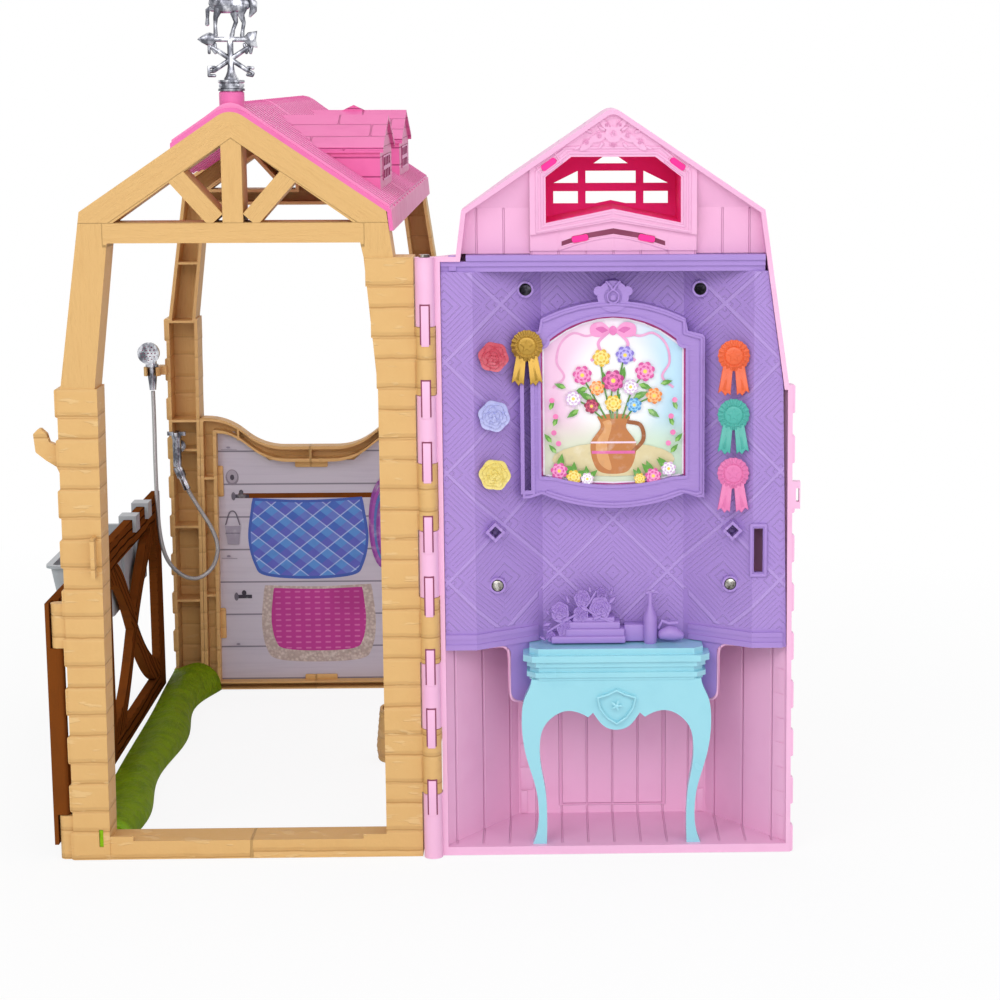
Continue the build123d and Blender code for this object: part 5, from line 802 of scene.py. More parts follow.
# %% [markdown]
# ## Weather vane
# The vane is cast as one rounded piece: a flared foot, a post, crossed arms that carry the four
# compass letters, an arrow and a trotting horse. Limbs of tapering balls give the horse its legs,
# neck and tail, all thin enough to be plated.

# %% Weather vane
AXIS_DEPTH = 11.0


def chain(shape, balls, depth=AXIS_DEPTH, sides=12, flat=1.0):
    limb(shape, [(at(x, depth, z), radius * MM) for x, z, radius in balls], sides, flat)


shape = bmesh.new()
chain(shape, ((0, 429.7, 4.0), (0, 431.2, 3.0), (0, 433.5, 2.1), (0, 436.5, 1.7), (0, 450.0, 1.7)), sides=16)
chain(shape, ((-10.5, 450.4, 1.35), (9.0, 450.4, 1.35)))
chain(shape, ((-17.0, 450.4, 0.3), (-15.2, 450.4, 1.7), (-12.4, 450.4, 3.2), (-10.6, 450.4, 3.6)), flat=0.45)
slab(shape, ((7.6, 449.0), (9.6, 446.8), (14.4, 446.0), (13.6, 450.4), (14.4, 454.8), (9.6, 454.0), (7.6, 451.8)),
     lambda x, lift, z: at(x, 12.3 - lift, z), 2.6, 0.6)
for side in (-1, 1):
    chain(shape, ((-9.1 * side, 434.0, 1.25), (0, 440.0, 1.4), (9.1 * side, 446.0, 1.25)))
LETTERS = {
    "north": (-9.6, 445.6, (((-1.5, -2), (-1.5, 2), (1.5, -2), (1.5, 2)),)),
    "west": (9.6, 445.6, (((-2, 2), (-1, -2), (0, 1), (1, -2), (2, 2)),)),
    "east": (-10.2, 433.6, (((1.4, -2), (-1.4, -2), (-1.4, 2), (1.4, 2)), ((-1.4, 0), (0.9, 0)))),
    "south": (10.2, 433.6, (((-1.4, -1.6), (0.9, -2), (1.4, -0.9), (-1.2, 0.7), (-0.9, 1.9), (1.4, 1.6)),)),
}
for x, z, strokes in LETTERS.values():
    for stroke in strokes:
        for (x0, z0), (x1, z1) in zip(stroke, stroke[1:]):
            chain(shape, ((x + x0 * 1.1, z + z0 * 1.1, 0.85), (x + x1 * 1.1, z + z1 * 1.1, 0.85)), sides=8)
HORSE = (
    ((-7.4, 469.3, 3.6), (-4.0, 468.6, 4.7), (1.0, 468.3, 4.3), (5.0, 468.8, 4.6), (8.0, 469.0, 3.6)),
    ((-6.4, 470.5, 4.0), (-8.6, 476.5, 3.0), (-9.8, 481.4, 2.3), (-9.4, 484.6, 1.9)),
    ((-8.8, 485.2, 2.1), (-11.6, 483.2, 1.8), (-14.0, 480.8, 1.2), (-15.4, 479.5, 1.1)),
    ((-8.6, 486.2, 0.9), (-8.5, 490.0, 0.35)),
    ((-7.2, 487.0, 1.0), (-5.4, 482.0, 1.5), (-3.8, 476.4, 1.5), (-2.6, 472.6, 0.8)),
    ((8.6, 471.2, 1.5), (11.2, 472.0, 1.9), (12.9, 469.2, 2.2), (12.7, 465.4, 2.0), (11.0, 462.6, 0.8)),
    ((-7.0, 467.2, 2.6), (-9.8, 466.4, 1.7), (-11.5, 465.6, 1.25), (-11.7, 461.6, 0.9), (-11.9, 458.4, 1.2)),
    ((-5.6, 466.5, 2.5), (-7.3, 461.6, 1.3), (-7.6, 457.4, 0.95), (-7.5, 452.6, 1.2)),
    ((3.6, 467.5, 3.0), (2.4, 463.4, 2.0), (3.3, 459.4, 1.2), (1.8, 455.6, 1.0), (1.0, 452.4, 1.3)),
    ((7.0, 467.5, 3.2), (6.2, 463.0, 1.8), (7.6, 459.0, 1.1), (6.9, 455.4, 0.95), (6.5, 452.4, 1.2)),
)
FAR_LEGS = (6, 8)
for number, balls in enumerate(HORSE):
    aside = 0.5 if number in FAR_LEGS else -0.3
    chain(shape, balls, AXIS_DEPTH + aside, flat=0.62 if number == 0 else 0.9)
add_piece("vane_figure", shape, "vane", "plated_plastic", ("weather_vane",), 60.0)


# %% [markdown]
# ## Vane collar and roof planks
# The collar is turned: a profile spun around the vane's axis, with a lip at each end. The roof is
# laid with lapped planks that run from the right eave over the ridge and a short way down the other
# slope. Each plank is thickest at its front edge, and that step is what reads as a seam.

# %% Turned collar
def lathe(shape, middle, profile, sides=40):
    """Spin a closed profile of (radius, height) around an upright axis."""
    skin(shape, [[shape.verts.new(middle + Vector((r * math.cos(turn), r * math.sin(turn), z)) * MM)
                  for turn in turns(sides)] for r, z in profile])


turned = bmesh.new()
axis = at(0, AXIS_DEPTH, 0)
lathe(turned, axis, ((6.9, 423.4), (7.1, 423.7), (7.1, 424.5), (6.4, 425.0), (6.4, 427.4), (7.1, 427.9),
                     (7.1, 428.8), (6.8, 429.1), (4.2, 429.15)))
for turn in (0.6, 2.2, 3.8, 5.4):
    spot = axis + Vector((6.5 * math.cos(turn), 6.5 * math.sin(turn), 426.2)) * MM
    stud = Vector((0.9, 0.9, 0.7)) * MM
    block(turned, spot - stud, spot + stud, 0.0002)
add_piece("vane_collar_turned", turned, "barn", "plated_plastic", (), 40.0)


# %% Roof planks
def ridge_line(x):
    """Height of the roof's upper face: two slopes and a rounded ridge, in millimetres."""
    if abs(x) < 7.93:
        return 400.53 + math.sqrt(14.2 ** 2 - x * x)
    return 417.65 - 0.6732 * abs(x)


low_corner, high_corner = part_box("roof_shell")
start_depth, end_depth = (low_corner[1] - FRONT) / MM, (high_corner[1] - FRONT) / MM
COUNT = round((end_depth - start_depth) / 11.8)
PLANK = (end_depth - start_depth) / COUNT
pale = Finish("plank_pink", "EC8EBF", roughness=0.42, shine=0.4)
seam = ((pale.y - low_corner[1]) / (PLANK * MM)).fract().fall(0.03, 0.06)
grain = pale.grain(3.0, pale.x * 60, pale.y * 200, pale.z * 60)
pale.paint(seam * 0.55, "C2458A")
pale.paint(grain.ramp(0.45, 0.8) * 0.2, "D25C9B")
pale.bump(-seam + grain * 0.15, 0.0006)
ACROSS = [-31.6, -24, -14, -10, -7, -4, 0, 4, 7, 10, 14, 24, 32, 42, 52, 62, 72, 83.6]


def plank_section(x, near, far):
    """A plank's outline at x: thick in front, thin behind, and fuller over the ridge."""
    top = ridge_line(x)
    full = 1.2 * math.exp(-(x / 8) ** 2)
    return (at(x, near, top - 0.4), at(x, near, top + 1.5 + full),
            at(x, far, top + 0.85 + full), at(x, far, top - 0.4))


planks = bmesh.new()
for number in range(COUNT):
    near = start_depth + PLANK * number + (0.0 if number else 3.0)
    far = start_depth + PLANK * (number + 1) + 0.2
    skin(planks, [[planks.verts.new(corner) for corner in plank_section(x, near, far)] for x in ACROSS])
add_piece("roof_planks", planks, "barn", "roof_pink", (), 25.0, pale.material)
print("planks:", COUNT)


# %% [markdown]
# ## Hinge tongues
# The hinge is assembled by snapping the facade's knuckles over the frame's, so a springy tongue
# bridges every joint between a pink knuckle and a tan one, in a slot that is slightly wider.

# %% Hinge tongues
def slot_shadow():
    shade = Finish("slot_shadow", "8C4A63", roughness=0.7, shine=0.1)
    shade.paint(shade.noise(60.0, 2.0).ramp(0.4, 0.7) * 0.4, "6D3048")
    return shade.material


SHADOW = slot_shadow()
HINGE_TALL = 335.3             # nine knuckles share this height
tongues = bmesh.new()
# Dark blocks of painted shade, a little wider than the tongues, stand for the gaps around them.
slot_shades = bmesh.new()
for number in range(1, 9):
    z = number * HINGE_TALL / 9
    top, foot = (8.0, 12.5) if number % 2 else (11.5, 10.5)
    block(tongues, at(99.6, -5.62, z - foot), at(103.8, -3.0, z + top), 0.0003)
    block(slot_shades, at(98.9, -5.34, z - foot + 1.0), at(104.5, -3.0, z + top + 0.8), 0.0001)
add_piece("hinge_tongues", tongues, "facade", "shell_pink")
add_piece("hinge_slots", slot_shades, "facade", "shell_pink", finish=SHADOW)


# %% [markdown]
# ## Screws
# Four cross-head screws hold the purple wall, the lower two bright in shallow cups and the upper
# two deep in the shade of the cornice. The upper heads and the cups are painted near black as shade.
# One screw head is modelled and repeated.

# %% Screw heads
def cross(share, turn):
    """A shallow dome with a cross slot, 2.9 mm in radius."""
    x = abs(share * 2.9 * math.cos(turn + 0.5))
    y = abs(share * 2.9 * math.sin(turn + 0.5))
    slot = (x < 0.42 and y < 2.0) or (y < 0.42 and x < 2.0)
    return 1.1 - 0.45 * share ** 4 - (0.8 if slot else 0.0)


# Painted shade: the upper heads and the cups around all four heads are near-black plated steel.
SCREW_SHADE = plated("screw_shade_steel", "2B2930", "141317", "4C4A52")
cups = bmesh.new()
for name, x, depth, z, hides, finish in (
        ("screw_heads", 64.5, 8.6, 153.0, ("panel_screw_1", "panel_screw_2"), None),
        ("shaded_screw_heads", 47.9, 19.6, 316.0, ("panel_screw_3", "panel_screw_4"), SCREW_SHADE)):
    head = bmesh.new()
    disc(head, Vector((0, 0, 0)), lambda turn: 2.9, cross, 26, 96)
    pair = [on_facade(side * x, depth, z) for side in (-1, 1)]
    repeat(name, head, pair, "facade", "steel", hides, finish)
    for centre in pair:
        disc(cups, centre, lambda turn: 3.5, lambda share, turn: 0.08, 3, 40)
add_piece("screw_cups", cups, "facade", "purple_plastic", finish=SCREW_SHADE)


# %% [markdown]
# ## Printed picture
# The picture is printed card. Printing is laid down as flat shapes in layers, each a hair in front
# of the last, and every shape carries its ink in a colour attribute that one finish reads.

# %% Ink layers
class Print:
    """Flat inked shapes on one card, stacked in layers."""

    def __init__(self, place):
        self.shape = bmesh.new()
        self.inks = []
        self.place = place
        self.lift = 0.0

    def area(self, points, code):
        self.lift += 0.004
        verts = [self.shape.verts.new(self.place(x, self.lift, z)) for x, z in points]
        self.shape.faces.new(verts)
        self.inks.append(srgb(code))

    def oval(self, x, z, wide, high, code, lean=0.0, sides=20):
        self.area(leaned([(wide * math.cos(a), high * math.sin(a)) for a in turns(sides)], x, z, lean), code)

    def leaf(self, x, z, length, lean):
        outline = ((0, 0), (0.3, 0.2), (0.6, 0.18), (1, 0), (0.6, -0.18), (0.3, -0.2))
        for size, ink in ((length, "5E9A3C"), (length * 0.55, "8CBF5F")):
            self.area(leaned(outline, x, z, lean, size), ink)

    def stroke(self, points, wide, code):
        """A line of flat bars, each a little longer than its stretch so that no gap shows at a bend."""
        for start, end in zip(points, points[1:]):
            start, end = Vector(start), Vector(end)
            reach = (end - start).normalized() * wide * 0.2
            side = Vector((-reach.y, reach.x)) * 2.5
            self.area([start + side - reach, start - side - reach, end - side + reach, end + side + reach], code)

    def bloom(self, x, z, size, light, dark):
        """Two rings of seven petals, each petal edged in the darker ink, around a yellow heart."""
        for ring, ink in ((1.0, dark), (0.82, light), (0.6, dark), (0.45, light)):
            reach = size * ring
            for a in [turn + ring * 3 for turn in turns(7)]:
                self.oval(x + reach * 0.55 * math.cos(a), z + reach * 0.55 * math.sin(a),
                          reach * 0.42, reach * 0.34, ink, math.degrees(a), 10)
        self.oval(x, z, size * 0.2, size * 0.2, "F6D95C", 0, 10)

    def make(self, name, body):
        """Turn the areas into one mesh that carries their inks."""
        mesh = bpy.data.meshes.new(name)
        self.shape.to_mesh(mesh)
        self.shape.free()
        ink = mesh.color_attributes.new("ink", "FLOAT_COLOR", "CORNER")
        for face, colour in zip(mesh.polygons, self.inks):
            for corner in face.loop_indices:
                ink.data[corner].color = colour
        mesh.materials.append(INK)
        piece = place_object(name, mesh)
        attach(piece, body)


def printing_ink():
    ink = Finish("printing_ink", "FFFFFF", roughness=0.3, shine=0.4)
    ink.painted("ink")
    wash = ink.noise(160.0, 3.0)
    ink.paint(wash.ramp(0.5, 0.8) * 0.22, "FFFFFF")
    ink.paint((1.0 - wash).ramp(0.5, 0.8) * 0.16, "613F61")
    return ink.material


INK = printing_ink()


def smooth_line(knots, steps=8):
    """A flowing line of points through a few knots."""
    knots = [Vector(knot) for knot in knots]
    ends = [knots[0] * 2 - knots[1]] + knots + [knots[-1] * 2 - knots[-2]]
    line = []
    for a, b, c, d in zip(ends, ends[1:], ends[2:], ends[3:]):
        for step in range(steps):
            t = step / steps
            line.append(0.5 * ((2 * b) + (c - a) * t + (2 * a - 5 * b + 4 * c - d) * t * t
                               + (3 * b - 3 * c + d - a) * t ** 3))
    return [tuple(point) for point in line + [knots[-1]]]


# %% [markdown]
# The picture shows a jug of garden flowers on a sill under a pink bow. Its border follows the
# notched frame: a magenta line and a white one.

# %% Picture of a flower jug
PINK, YELLOW, SNOW = ("F39BCB", "D9549E"), ("F7E48A", "E5B83C"), ("F6F2FA", "D7B7DB")
PEACH, VIOLET, ROSE = ("FBC187", "EE8A3D"), ("BFB4F0", "8878D0"), ("E86FAF", "B93A82")
WINE, BLUE, CHALK = ("C9506F", "93304E"), ("8FC9EE", "4C93CF"), ("FFFFFF", "E4C7DE")
picture = Print(lambda x, lift, z: on_facade(x, 17.96 - lift, z))


def both_sides(points):
    """A smooth line and its mirror image."""
    return [smooth_line([(side * x, z) for x, z in points]) for side in (-1, 1)]


BOW = (((5, 294), (14, 290.5), (22, 292), (29, 286), (31, 276), (27, 268), (33, 262)),
       ((2, 293), (8, 287), (7, 281), (12, 277)),
       ((1, 293.5), (6, 298), (12, 296.5), (12, 291), (6, 290), (1, 293)),
       ((2.5, 293.6), (6, 295.6), (9.6, 294.6), (6, 292)))
for ribbon, tail, loop, fold in zip(*[both_sides(points) for points in BOW]):
    picture.stroke(ribbon, 1.3, "E9A6CF")
    picture.stroke(tail, 1.6, "F0A3D2")
    picture.area(loop, "F19ACD")
    picture.area(fold, "D96AAE")
picture.oval(0, 293.5, 2.2, 2.6, "E77FBD")
picture.oval(0, 222, 34, 9.5, "DCCDA0")
picture.area(smooth_line(((-9, 246), (-7, 240), (-12.5, 231), (-11, 220), (-6, 214.5), (6, 214.5), (11, 220),
                          (12.5, 231), (7, 240), (9, 246), (0, 247.5), (-9, 246))), "C07B45")
picture.area(smooth_line(((-6, 243), (-5, 239), (-9.5, 231), (-8.5, 221.5), (-4.5, 217), (-1, 217), (-3.5, 229),
                          (-1, 240), (-2, 244), (-6, 243))), "DBA069")
picture.stroke(smooth_line(((8, 243), (15, 241), (16.5, 233), (10.5, 226))), 2.2, "9A5B30")
picture.stroke(((-11.6, 226), (11.6, 226)), 1.6, "E06AA8")
picture.stroke(((-12.4, 231.5), (12.4, 231.5)), 1.0, "F4D6E6")
for x, z, tip_x, tip_z in ((-4, 245, -17, 268), (-1, 245, -7, 277), (2, 245, 6, 279), (5, 245, 17, 270),
                           (-6, 245, -22, 256), (7, 245, 22, 257), (0, 245, 0, 264)):
    picture.stroke(smooth_line(((x, z), ((x + tip_x) / 2 - 1, (z + tip_z) / 2 + 2), (tip_x, tip_z))), 0.9, "5B8E3A")
for x, z, length, lean in ((-11, 255, 9, 150), (-14, 262, 8, 200), (11, 256, 9, 25), (14, 264, 8, -20),
                           (-4, 262, 9, 100), (4, 265, 9, 75), (-19, 250, 8, 215), (19, 250, 8, -35),
                           (-26, 262, 7, 160), (26, 264, 7, 15), (0, 252, 8, 60), (-7, 250, 8, 130)):
    picture.leaf(x, z, length, lean)
for x, z, size, inks in ((-17, 269, 5.6, PINK), (-6.5, 278.5, 5.2, YELLOW), (6.5, 280, 5.4, VIOLET),
                         (17.5, 271, 5.8, PINK), (-22, 256, 4.8, SNOW), (22.5, 257.5, 4.8, PEACH),
                         (0, 266, 6.4, ROSE), (-9, 262, 4.4, PEACH), (9.5, 262.5, 4.6, SNOW),
                         (0, 253.5, 5.0, YELLOW), (-12, 252, 4.4, WINE), (11.5, 252.5, 4.4, BLUE)):
    picture.bloom(x, z, size, *inks)
for x, z, size, inks in ((-30, 216, 5.0, PINK), (-22, 212.5, 4.4, YELLOW), (-14.5, 211.5, 3.8, CHALK),
                         (22, 213, 4.8, PINK), (30.5, 217, 4.4, SNOW), (14.5, 211.5, 3.4, YELLOW)):
    picture.leaf(x, z, size * 2.0, 70 + x * 2)
    picture.leaf(x, z, size * 2.0, 110 + x)
    picture.bloom(x, z, size, *inks)
for side in (-1, 1):
    for x, z in ((34, 232), (33, 241), (35, 250), (31.5, 226)):
        picture.leaf(side * x, z, 6.5, 90 + side * (20 if z > 235 else -40))
        picture.oval(side * (x - 1.2), z + 5.4, 1.5, 1.5, "EE7DB6")
picture.make("picture_printing", "facade")


# %% Border of the picture
def border(code, wide, inset):
    """A line that follows the card's notched edge, a little inside it."""
    card = Print(lambda x, lift, z: on_facade(x, 17.6 - lift, z))
    right = [(39.8 - inset, 213.0), (39.8 - inset, 283.4), (34.8 - inset * 0.6, 288.8 - inset)]
    arch = [(x, 301.5 - inset - (x / 34.8) ** 2 * 12.6) for x in (26, 17, 8.5, 0)]
    foot = [(x, 208.0 + inset + (x / 39.8) ** 2 * 5.2 - 0.4) for x in (0, 13, 26, 36)]
    half = right + arch
    line = half + [(-x, z) for x, z in half[::-1][1:]]
    base = [(-x, z) for x, z in foot[::-1]] + [(x, z) for x, z in foot[1:]]
    card.stroke(line + base + [right[0]], wide, code)
    card.make("picture_border_" + code, "facade")


border("B8307F", 1.3, 0.3)
border("F8EEF6", 0.9, 1.4)


# %% [markdown]
# ## Curved frame of the rear wall
# The rear wall hangs in a channel frame whose top dips in a soft S on each side. A polygon with its
# corners rounded gives that line; four bands drawn between two such lines make the channel's walls,
# its floor and the ledge behind the card, and short tabs hold the card in.

# %% Rear wall frame
FRAME_NEAR, FRAME_FAR = 375.0, 387.0
FRAME_HALF, FRAME_TALL, TAPER = 78.4, 195.5, 2.1


def saddle(inset, steps=9):
    """The frame's outline, drawn in from its edge and rounded at the dip."""
    foot, top = FRAME_HALF - inset, FRAME_TALL - inset
    half = [(foot, inset / 2, 0.0), (foot - TAPER, top, 1.5), (57.5 - inset / 3, top, 15.5),
            (33.5 - inset / 3, 175.0 - inset, 15.5)]
    corners = half + [(-x, z, soft) for x, z, soft in half[::-1]]
    line = []
    for number, (x, z, soft) in enumerate(corners):
        if not soft:
            line.append((x, z))
            continue
        here = Vector((x, z))
        ends = []
        for x_near, z_near, soft_near in (corners[number - 1], corners[(number + 1) % len(corners)]):
            way = Vector((x_near, z_near)) - here
            ends.append(here + way.normalized() * max(min(soft, way.length - soft_near - 0.3), 0.5))
        for step in range(steps):
            t = step / (steps - 1)
            line.append(tuple(ends[0] * (1 - t) ** 2 + here * 2 * t * (1 - t) + ends[1] * t * t))
    return line


def band(shape, outer, inner, near, far):
    """A closed band between two outlines, from one depth to another."""
    loops = [[shape.verts.new(at(x, depth, z)) for x, z in line]
             for line, depth in ((outer, near), (outer, far), (inner, far), (inner, near))]
    skin(shape, loops + loops[:1], False)


def frame_half(inset, z):
    """The frame's half width at a height, drawn in from its edge."""
    return FRAME_HALF - inset - TAPER * z / FRAME_TALL


rear = bmesh.new()
for outer, inner, near, far in ((0.0, 2.2, FRAME_NEAR, FRAME_FAR), (8.8, 11.0, FRAME_NEAR, FRAME_FAR),
                                (2.0, 9.0, 384.6, FRAME_FAR), (10.8, 15.5, 384.3, FRAME_FAR)):
    band(rear, saddle(outer), saddle(inner), near, far)
for z in (68.4, 152.5):
    for side in (-1, 1):
        reach = sorted((side * frame_half(0.8, z), side * frame_half(9.8, z)))
        block(rear, at(reach[0], 375.4, z - 0.8), at(reach[1], 385.0, z + 0.8))
block(rear, at(-0.8, 375.4, 165.0), at(0.8, 385.0, 174.0))
for side in (-1, 1):
    block(rear, at(side * 50 - 0.8, 375.4, 179.5), at(side * 50 + 0.8, 385.0, 187.0))
    for z in (47.0, 149.5):
        edge = side * frame_half(10.4, z)
        reach = sorted((edge, edge - side * 4.4))
        block(rear, at(reach[0], 380.6, z - 11), at(reach[1], 382.8, z + 11), 0.0009)
block(rear, at(-11.5, 380.6, 159.2), at(11.5, 382.8, 164.6), 0.0009)
block(rear, at(-8.0, 380.6, 5.0), at(15.0, 382.8, 9.2), 0.0009)
add_piece("rear_wall_channel", rear, "barn", "tan_plastic", ("rear_wall_frame",), 30.0)


# %% [markdown]
# ## Printed tack wall
# The card behind the stall is printed as if rugs were kept there: a checked blue rug over a rail, a
# ribbed pink cloth with a cream edge, a coil of rope and a pail. The cloths have finishes of their
# own, so the weave stays crisp.

# %% Rugs, rope and pail
def checked_rug():
    rug = Finish("checked_rug", "4A6FC4", roughness=0.5, shine=0.3)
    a, b = (rug.x * 0.8 + rug.z) / 0.0155, (rug.x * 0.8 - rug.z) / 0.0155
    rug.paint(a.fract().ramp(0.48, 0.52) * 0.5, "6BB0EA")
    rug.paint(b.fract().ramp(0.48, 0.52) * 0.4, "7C59C0")
    for way in (a, b):
        rug.paint(lines(way, 1.0, 0.07) * 0.6, "CFE0FA")
    rug.paint(rug.noise(90.0, 2.0).ramp(0.5, 0.8) * 0.25, "3B479C")
    return rug.material


def ribbed_cloth():
    cloth = Finish("ribbed_cloth", "BF3C93", roughness=0.55, shine=0.3)
    rib = lines(cloth.z + cloth.noise(30.0, 1.0) * 0.001, 0.0041, 0.0013)
    stitch = ((cloth.x * 900).sin() * 0.5 + 0.5).ramp(0.2, 0.7)
    cloth.paint(rib * stitch * 0.55, "E88CC8")
    cloth.paint(cloth.noise(24.0, 2.0).ramp(0.45, 0.75) * 0.35, "96246F")
    return cloth.material


def fleece():
    wool = Finish("fleece_edge", "CFC0B8", roughness=0.7, shine=0.2)
    curl = wool.cells(420.0)
    wool.paint(curl.ramp(0.2, 0.6) * 0.6, "A89690")
    wool.paint(wool.noise(300.0, 3.0).ramp(0.5, 0.7) * 0.5, "E6DAD2")
    wool.bump(curl, 0.0008)
    return wool.material


def flat_print(name, outline, lift, finish):
    """A thin flat shape in front of the printed boards."""
    shape = bmesh.new()
    slab(shape, outline, lambda x, rise, z: at(x, 382.96 - rise, z), lift)
    add_piece(name, shape, "barn", "printed_card", finish=finish)


def rounded(left, foot, right, top, sag, wave=0.0):
    """A hanging cloth's outline: soft lower corners and a slightly uneven top."""
    return smooth_line(((left + 1, top), ((left + right) / 2, top - sag), (right - 1, top + 0.5))) + smooth_line(
        ((right, top - 4), (right + 1 + wave, (top + foot) / 2), (right - 1, foot + 9), (right - 9, foot + 1),
         ((left + right) / 2, foot - sag), (left + 9, foot + 1), (left + 1, foot + 9),
         (left - 1 - wave, (top + foot) / 2), (left, top - 4)))


RUG = rounded(-43, 80, 36, 137, 1.5, 2.0)
flat_print("rug_bar", ((-52, 137), (46, 137), (46, 140.5), (-52, 140.5)), 0.06, FINISHES["brown_plastic"])
flat_print("rug_edge", RUG, 0.10, plain("rug_binding", "3E5DB4", "2F4692", 0.5))
flat_print("rug", [(x * 0.955 - 0.2, 108.5 + (z - 108.5) * 0.93) for x, z in RUG], 0.16, checked_rug())
CLOTH = rounded(-36, 19, 41, 74, 1.0, 1.0)
flat_print("cloth_edge", CLOTH, 0.05, fleece())
flat_print("cloth", [(x * 0.83 + 0.4, 49 + (z - 49) * 0.82 + 2.5) for x, z in CLOTH], 0.08, ribbed_cloth())
tack = Print(lambda x, lift, z: at(x, 382.72 - lift, z))
for x, z in ((-56, 152), (52, 150)):
    tack.oval(x, z, 4.6, 5.6, "8A828F")
    tack.oval(x, z + 0.6, 3.6, 4.6, "A9A2AF")
    tack.oval(x, z, 1.5, 2.0, "4B4552")
for z in (138.5, 66):
    tack.stroke(((-55, z), (-45, z)), 2.6, "3C3844")
    tack.oval(-55.5, z, 1.5, 3.0, "6B6674")
    tack.oval(-50, z + 2.6, 1.6, 2.0, "3C3844")
for number, ink in enumerate(("8E3F9C", "A54CAE", "5572B8", "8E3F9C", "B35BB8")):
    wide = 9.6 - number * 1.5
    loop = [(50 + number * 0.3 + wide * math.cos(math.radians(a)), 118 - number + (34 - number * 3.6)
             * math.sin(math.radians(a)) * 0.92) for a in range(0, 361, 12)]
    tack.stroke(loop, 2.3, ink)
tack.stroke(((48.5, 150), (49.5, 122), (48.8, 96)), 2.4, "9A4AA6")
tack.oval(49.2, 128, 1.8, 2.6, "C49A3A")
tack.area([(-62, 118), (-51, 118), (-52.5, 104), (-60.5, 104)], "9E98A8")
tack.stroke(((-62, 118), (-51, 118)), 1.4, "C6C1CD")
tack.stroke(((-61.6, 112), (-51.8, 112)), 0.9, "7A7484")
tack.stroke(smooth_line(((-61.5, 118), (-59, 126), (-56.5, 128), (-54, 126), (-51.5, 118))), 0.9, "6B6674")
for x, z in ((-60, 94), (-55, 30), (58, 52), (-58, 172), (55, 172)):
    tack.stroke(((x - 5, z), (x + 6, z - 0.3)), 0.35, "8D8797")
    tack.oval(x, z + 1.5, 1.4, 0.7, "938D9E")
tack.make("tack_printing", "barn")


# %% [markdown]
# ## Shelf relief
# On the vanity the wall carries a relief of a posy lying on folded towels, a pump bottle and a
# brush. The blooms reuse the rose formula at a smaller size.

# %% Shelf relief
LEAF = ((0, 0), (0.25, 0.17), (0.6, 0.18), (1, 0), (0.6, -0.18), (0.25, -0.17))
shape = bmesh.new()


def shelf_place(base):
    """Places on the facade whose lift is measured from a base depth."""
    return lambda x, lift, z: on_facade(x, base - lift, z)


SHELF_BACK = 27.4
for left, foot, right, top, front in ((-35, 118.3, 6.5, 121.8, 13.8), (-27, 121.6, 6.0, 125.4, 14.6),
                                      (-25, 125.2, 3.5, 128.8, 15.4), (-23, 128.6, 0.5, 131.0, 16.2),
                                      (5.8, 118.3, 17, 126.8, 18.0)):
    block(shape, on_facade(left, front, foot), on_facade(right, SHELF_BACK, top), 0.0007)
for balls, flat in ((((20.4, 119.0, 3.9), (20.4, 131.0, 3.9), (20.4, 134.2, 2.4), (20.4, 137.2, 1.3),
                      (20.4, 142.4, 1.3)), 1.3),
                    (((18.6, 142.9, 1.1), (22.4, 143.6, 1.1), (24.8, 143.0, 0.8)), 1.0),
                    (((27.4, 121.8, 2.8), (31.0, 122.6, 3.8), (34.6, 122.0, 3.4), (37.4, 121.2, 2.2)), 1.2),
                    (((25.2, 125.2, 0.8), (27.2, 128.6, 0.9), (31.0, 127.2, 0.9), (35.6, 127.6, 1.0)), 1.0)):
    limb(shape, [(on_facade(x, 18.5, z), radius * MM) for x, z, radius in balls], 16, flat)
for x, z, length, lean in ((-31, 133, 5, 150), (-35, 128, 5, 190), (-34, 123, 5, 215), (-25, 138, 5, 110),
                           (-20, 138, 6, 70), (-13, 143, 5, 100), (-3, 138, 6, 40), (-24, 131, 6, 200),
                           (-14, 134, 6, 150), (-2, 142, 5, 70), (-28, 129, 6, 170), (-38, 119.5, 4, 150),
                           (-36, 132, 4, 120), (-12, 130, 6, 20)):
    slab(shape, leaned(LEAF, x, z, lean, length), shelf_place(17.4), 2.0, 0.6)
for stem in (((-37, 124), (-26, 130), (-16, 136), (-10, 144)), ((-20, 142), (-16, 136), (-8, 131), (1, 128))):
    limb(shape, [(on_facade(x, 16.2, z), 0.0006) for x, z in smooth_line(stem, 4)], 8)
for x, z, radius, spin in ((-30, 134, 5.2, 0.4), (-17.6, 140.6, 4.6, 1.1), (-7.6, 135.6, 6.2, 2.0),
                           (-27, 125.4, 5.0, 0.1), (-6.6, 143.2, 3.0, 2.6), (-35.4, 121.6, 2.8, 0.8),
                           (-18.4, 132.6, 4.4, 1.6), (-37.6, 126.4, 2.2, 0.3)):
    rose(shape, on_facade(x, 18.4, z), radius, 2.6, spin, 26, 60, base=1.4)
SHELF_TOP, TALLER = 0.1183, 1.13
for vertex in shape.verts:
    vertex.co.z = SHELF_TOP + (vertex.co.z - SHELF_TOP) * TALLER
add_piece("shelf_posy", shape, "facade", "purple_plastic", ("shelf_relief",), 48.0)


# %% [markdown]
# ## Frame crest, mouldings and emblem
# A few raised trims are too thin to be solids: the crest on the picture frame, the stepped
# moulding around the hayloft window, the posy in the gable and the plain emblem on the table.

# %% Raised trims
def raised_line(shape, knots, wide, depth, proud, steps=6, closed=False):
    """A half-round bead that follows a line on the facade."""
    line = smooth_line(knots, steps) if steps > 1 else list(knots)
    if closed:
        line.append(line[0])
    for (x0, z0), (x1, z1) in zip(line, line[1:]):
        limb(shape, [(on_facade(x0, depth, z0), wide * MM / 2), (on_facade(x1, depth, z1), wide * MM / 2)], 8, proud)


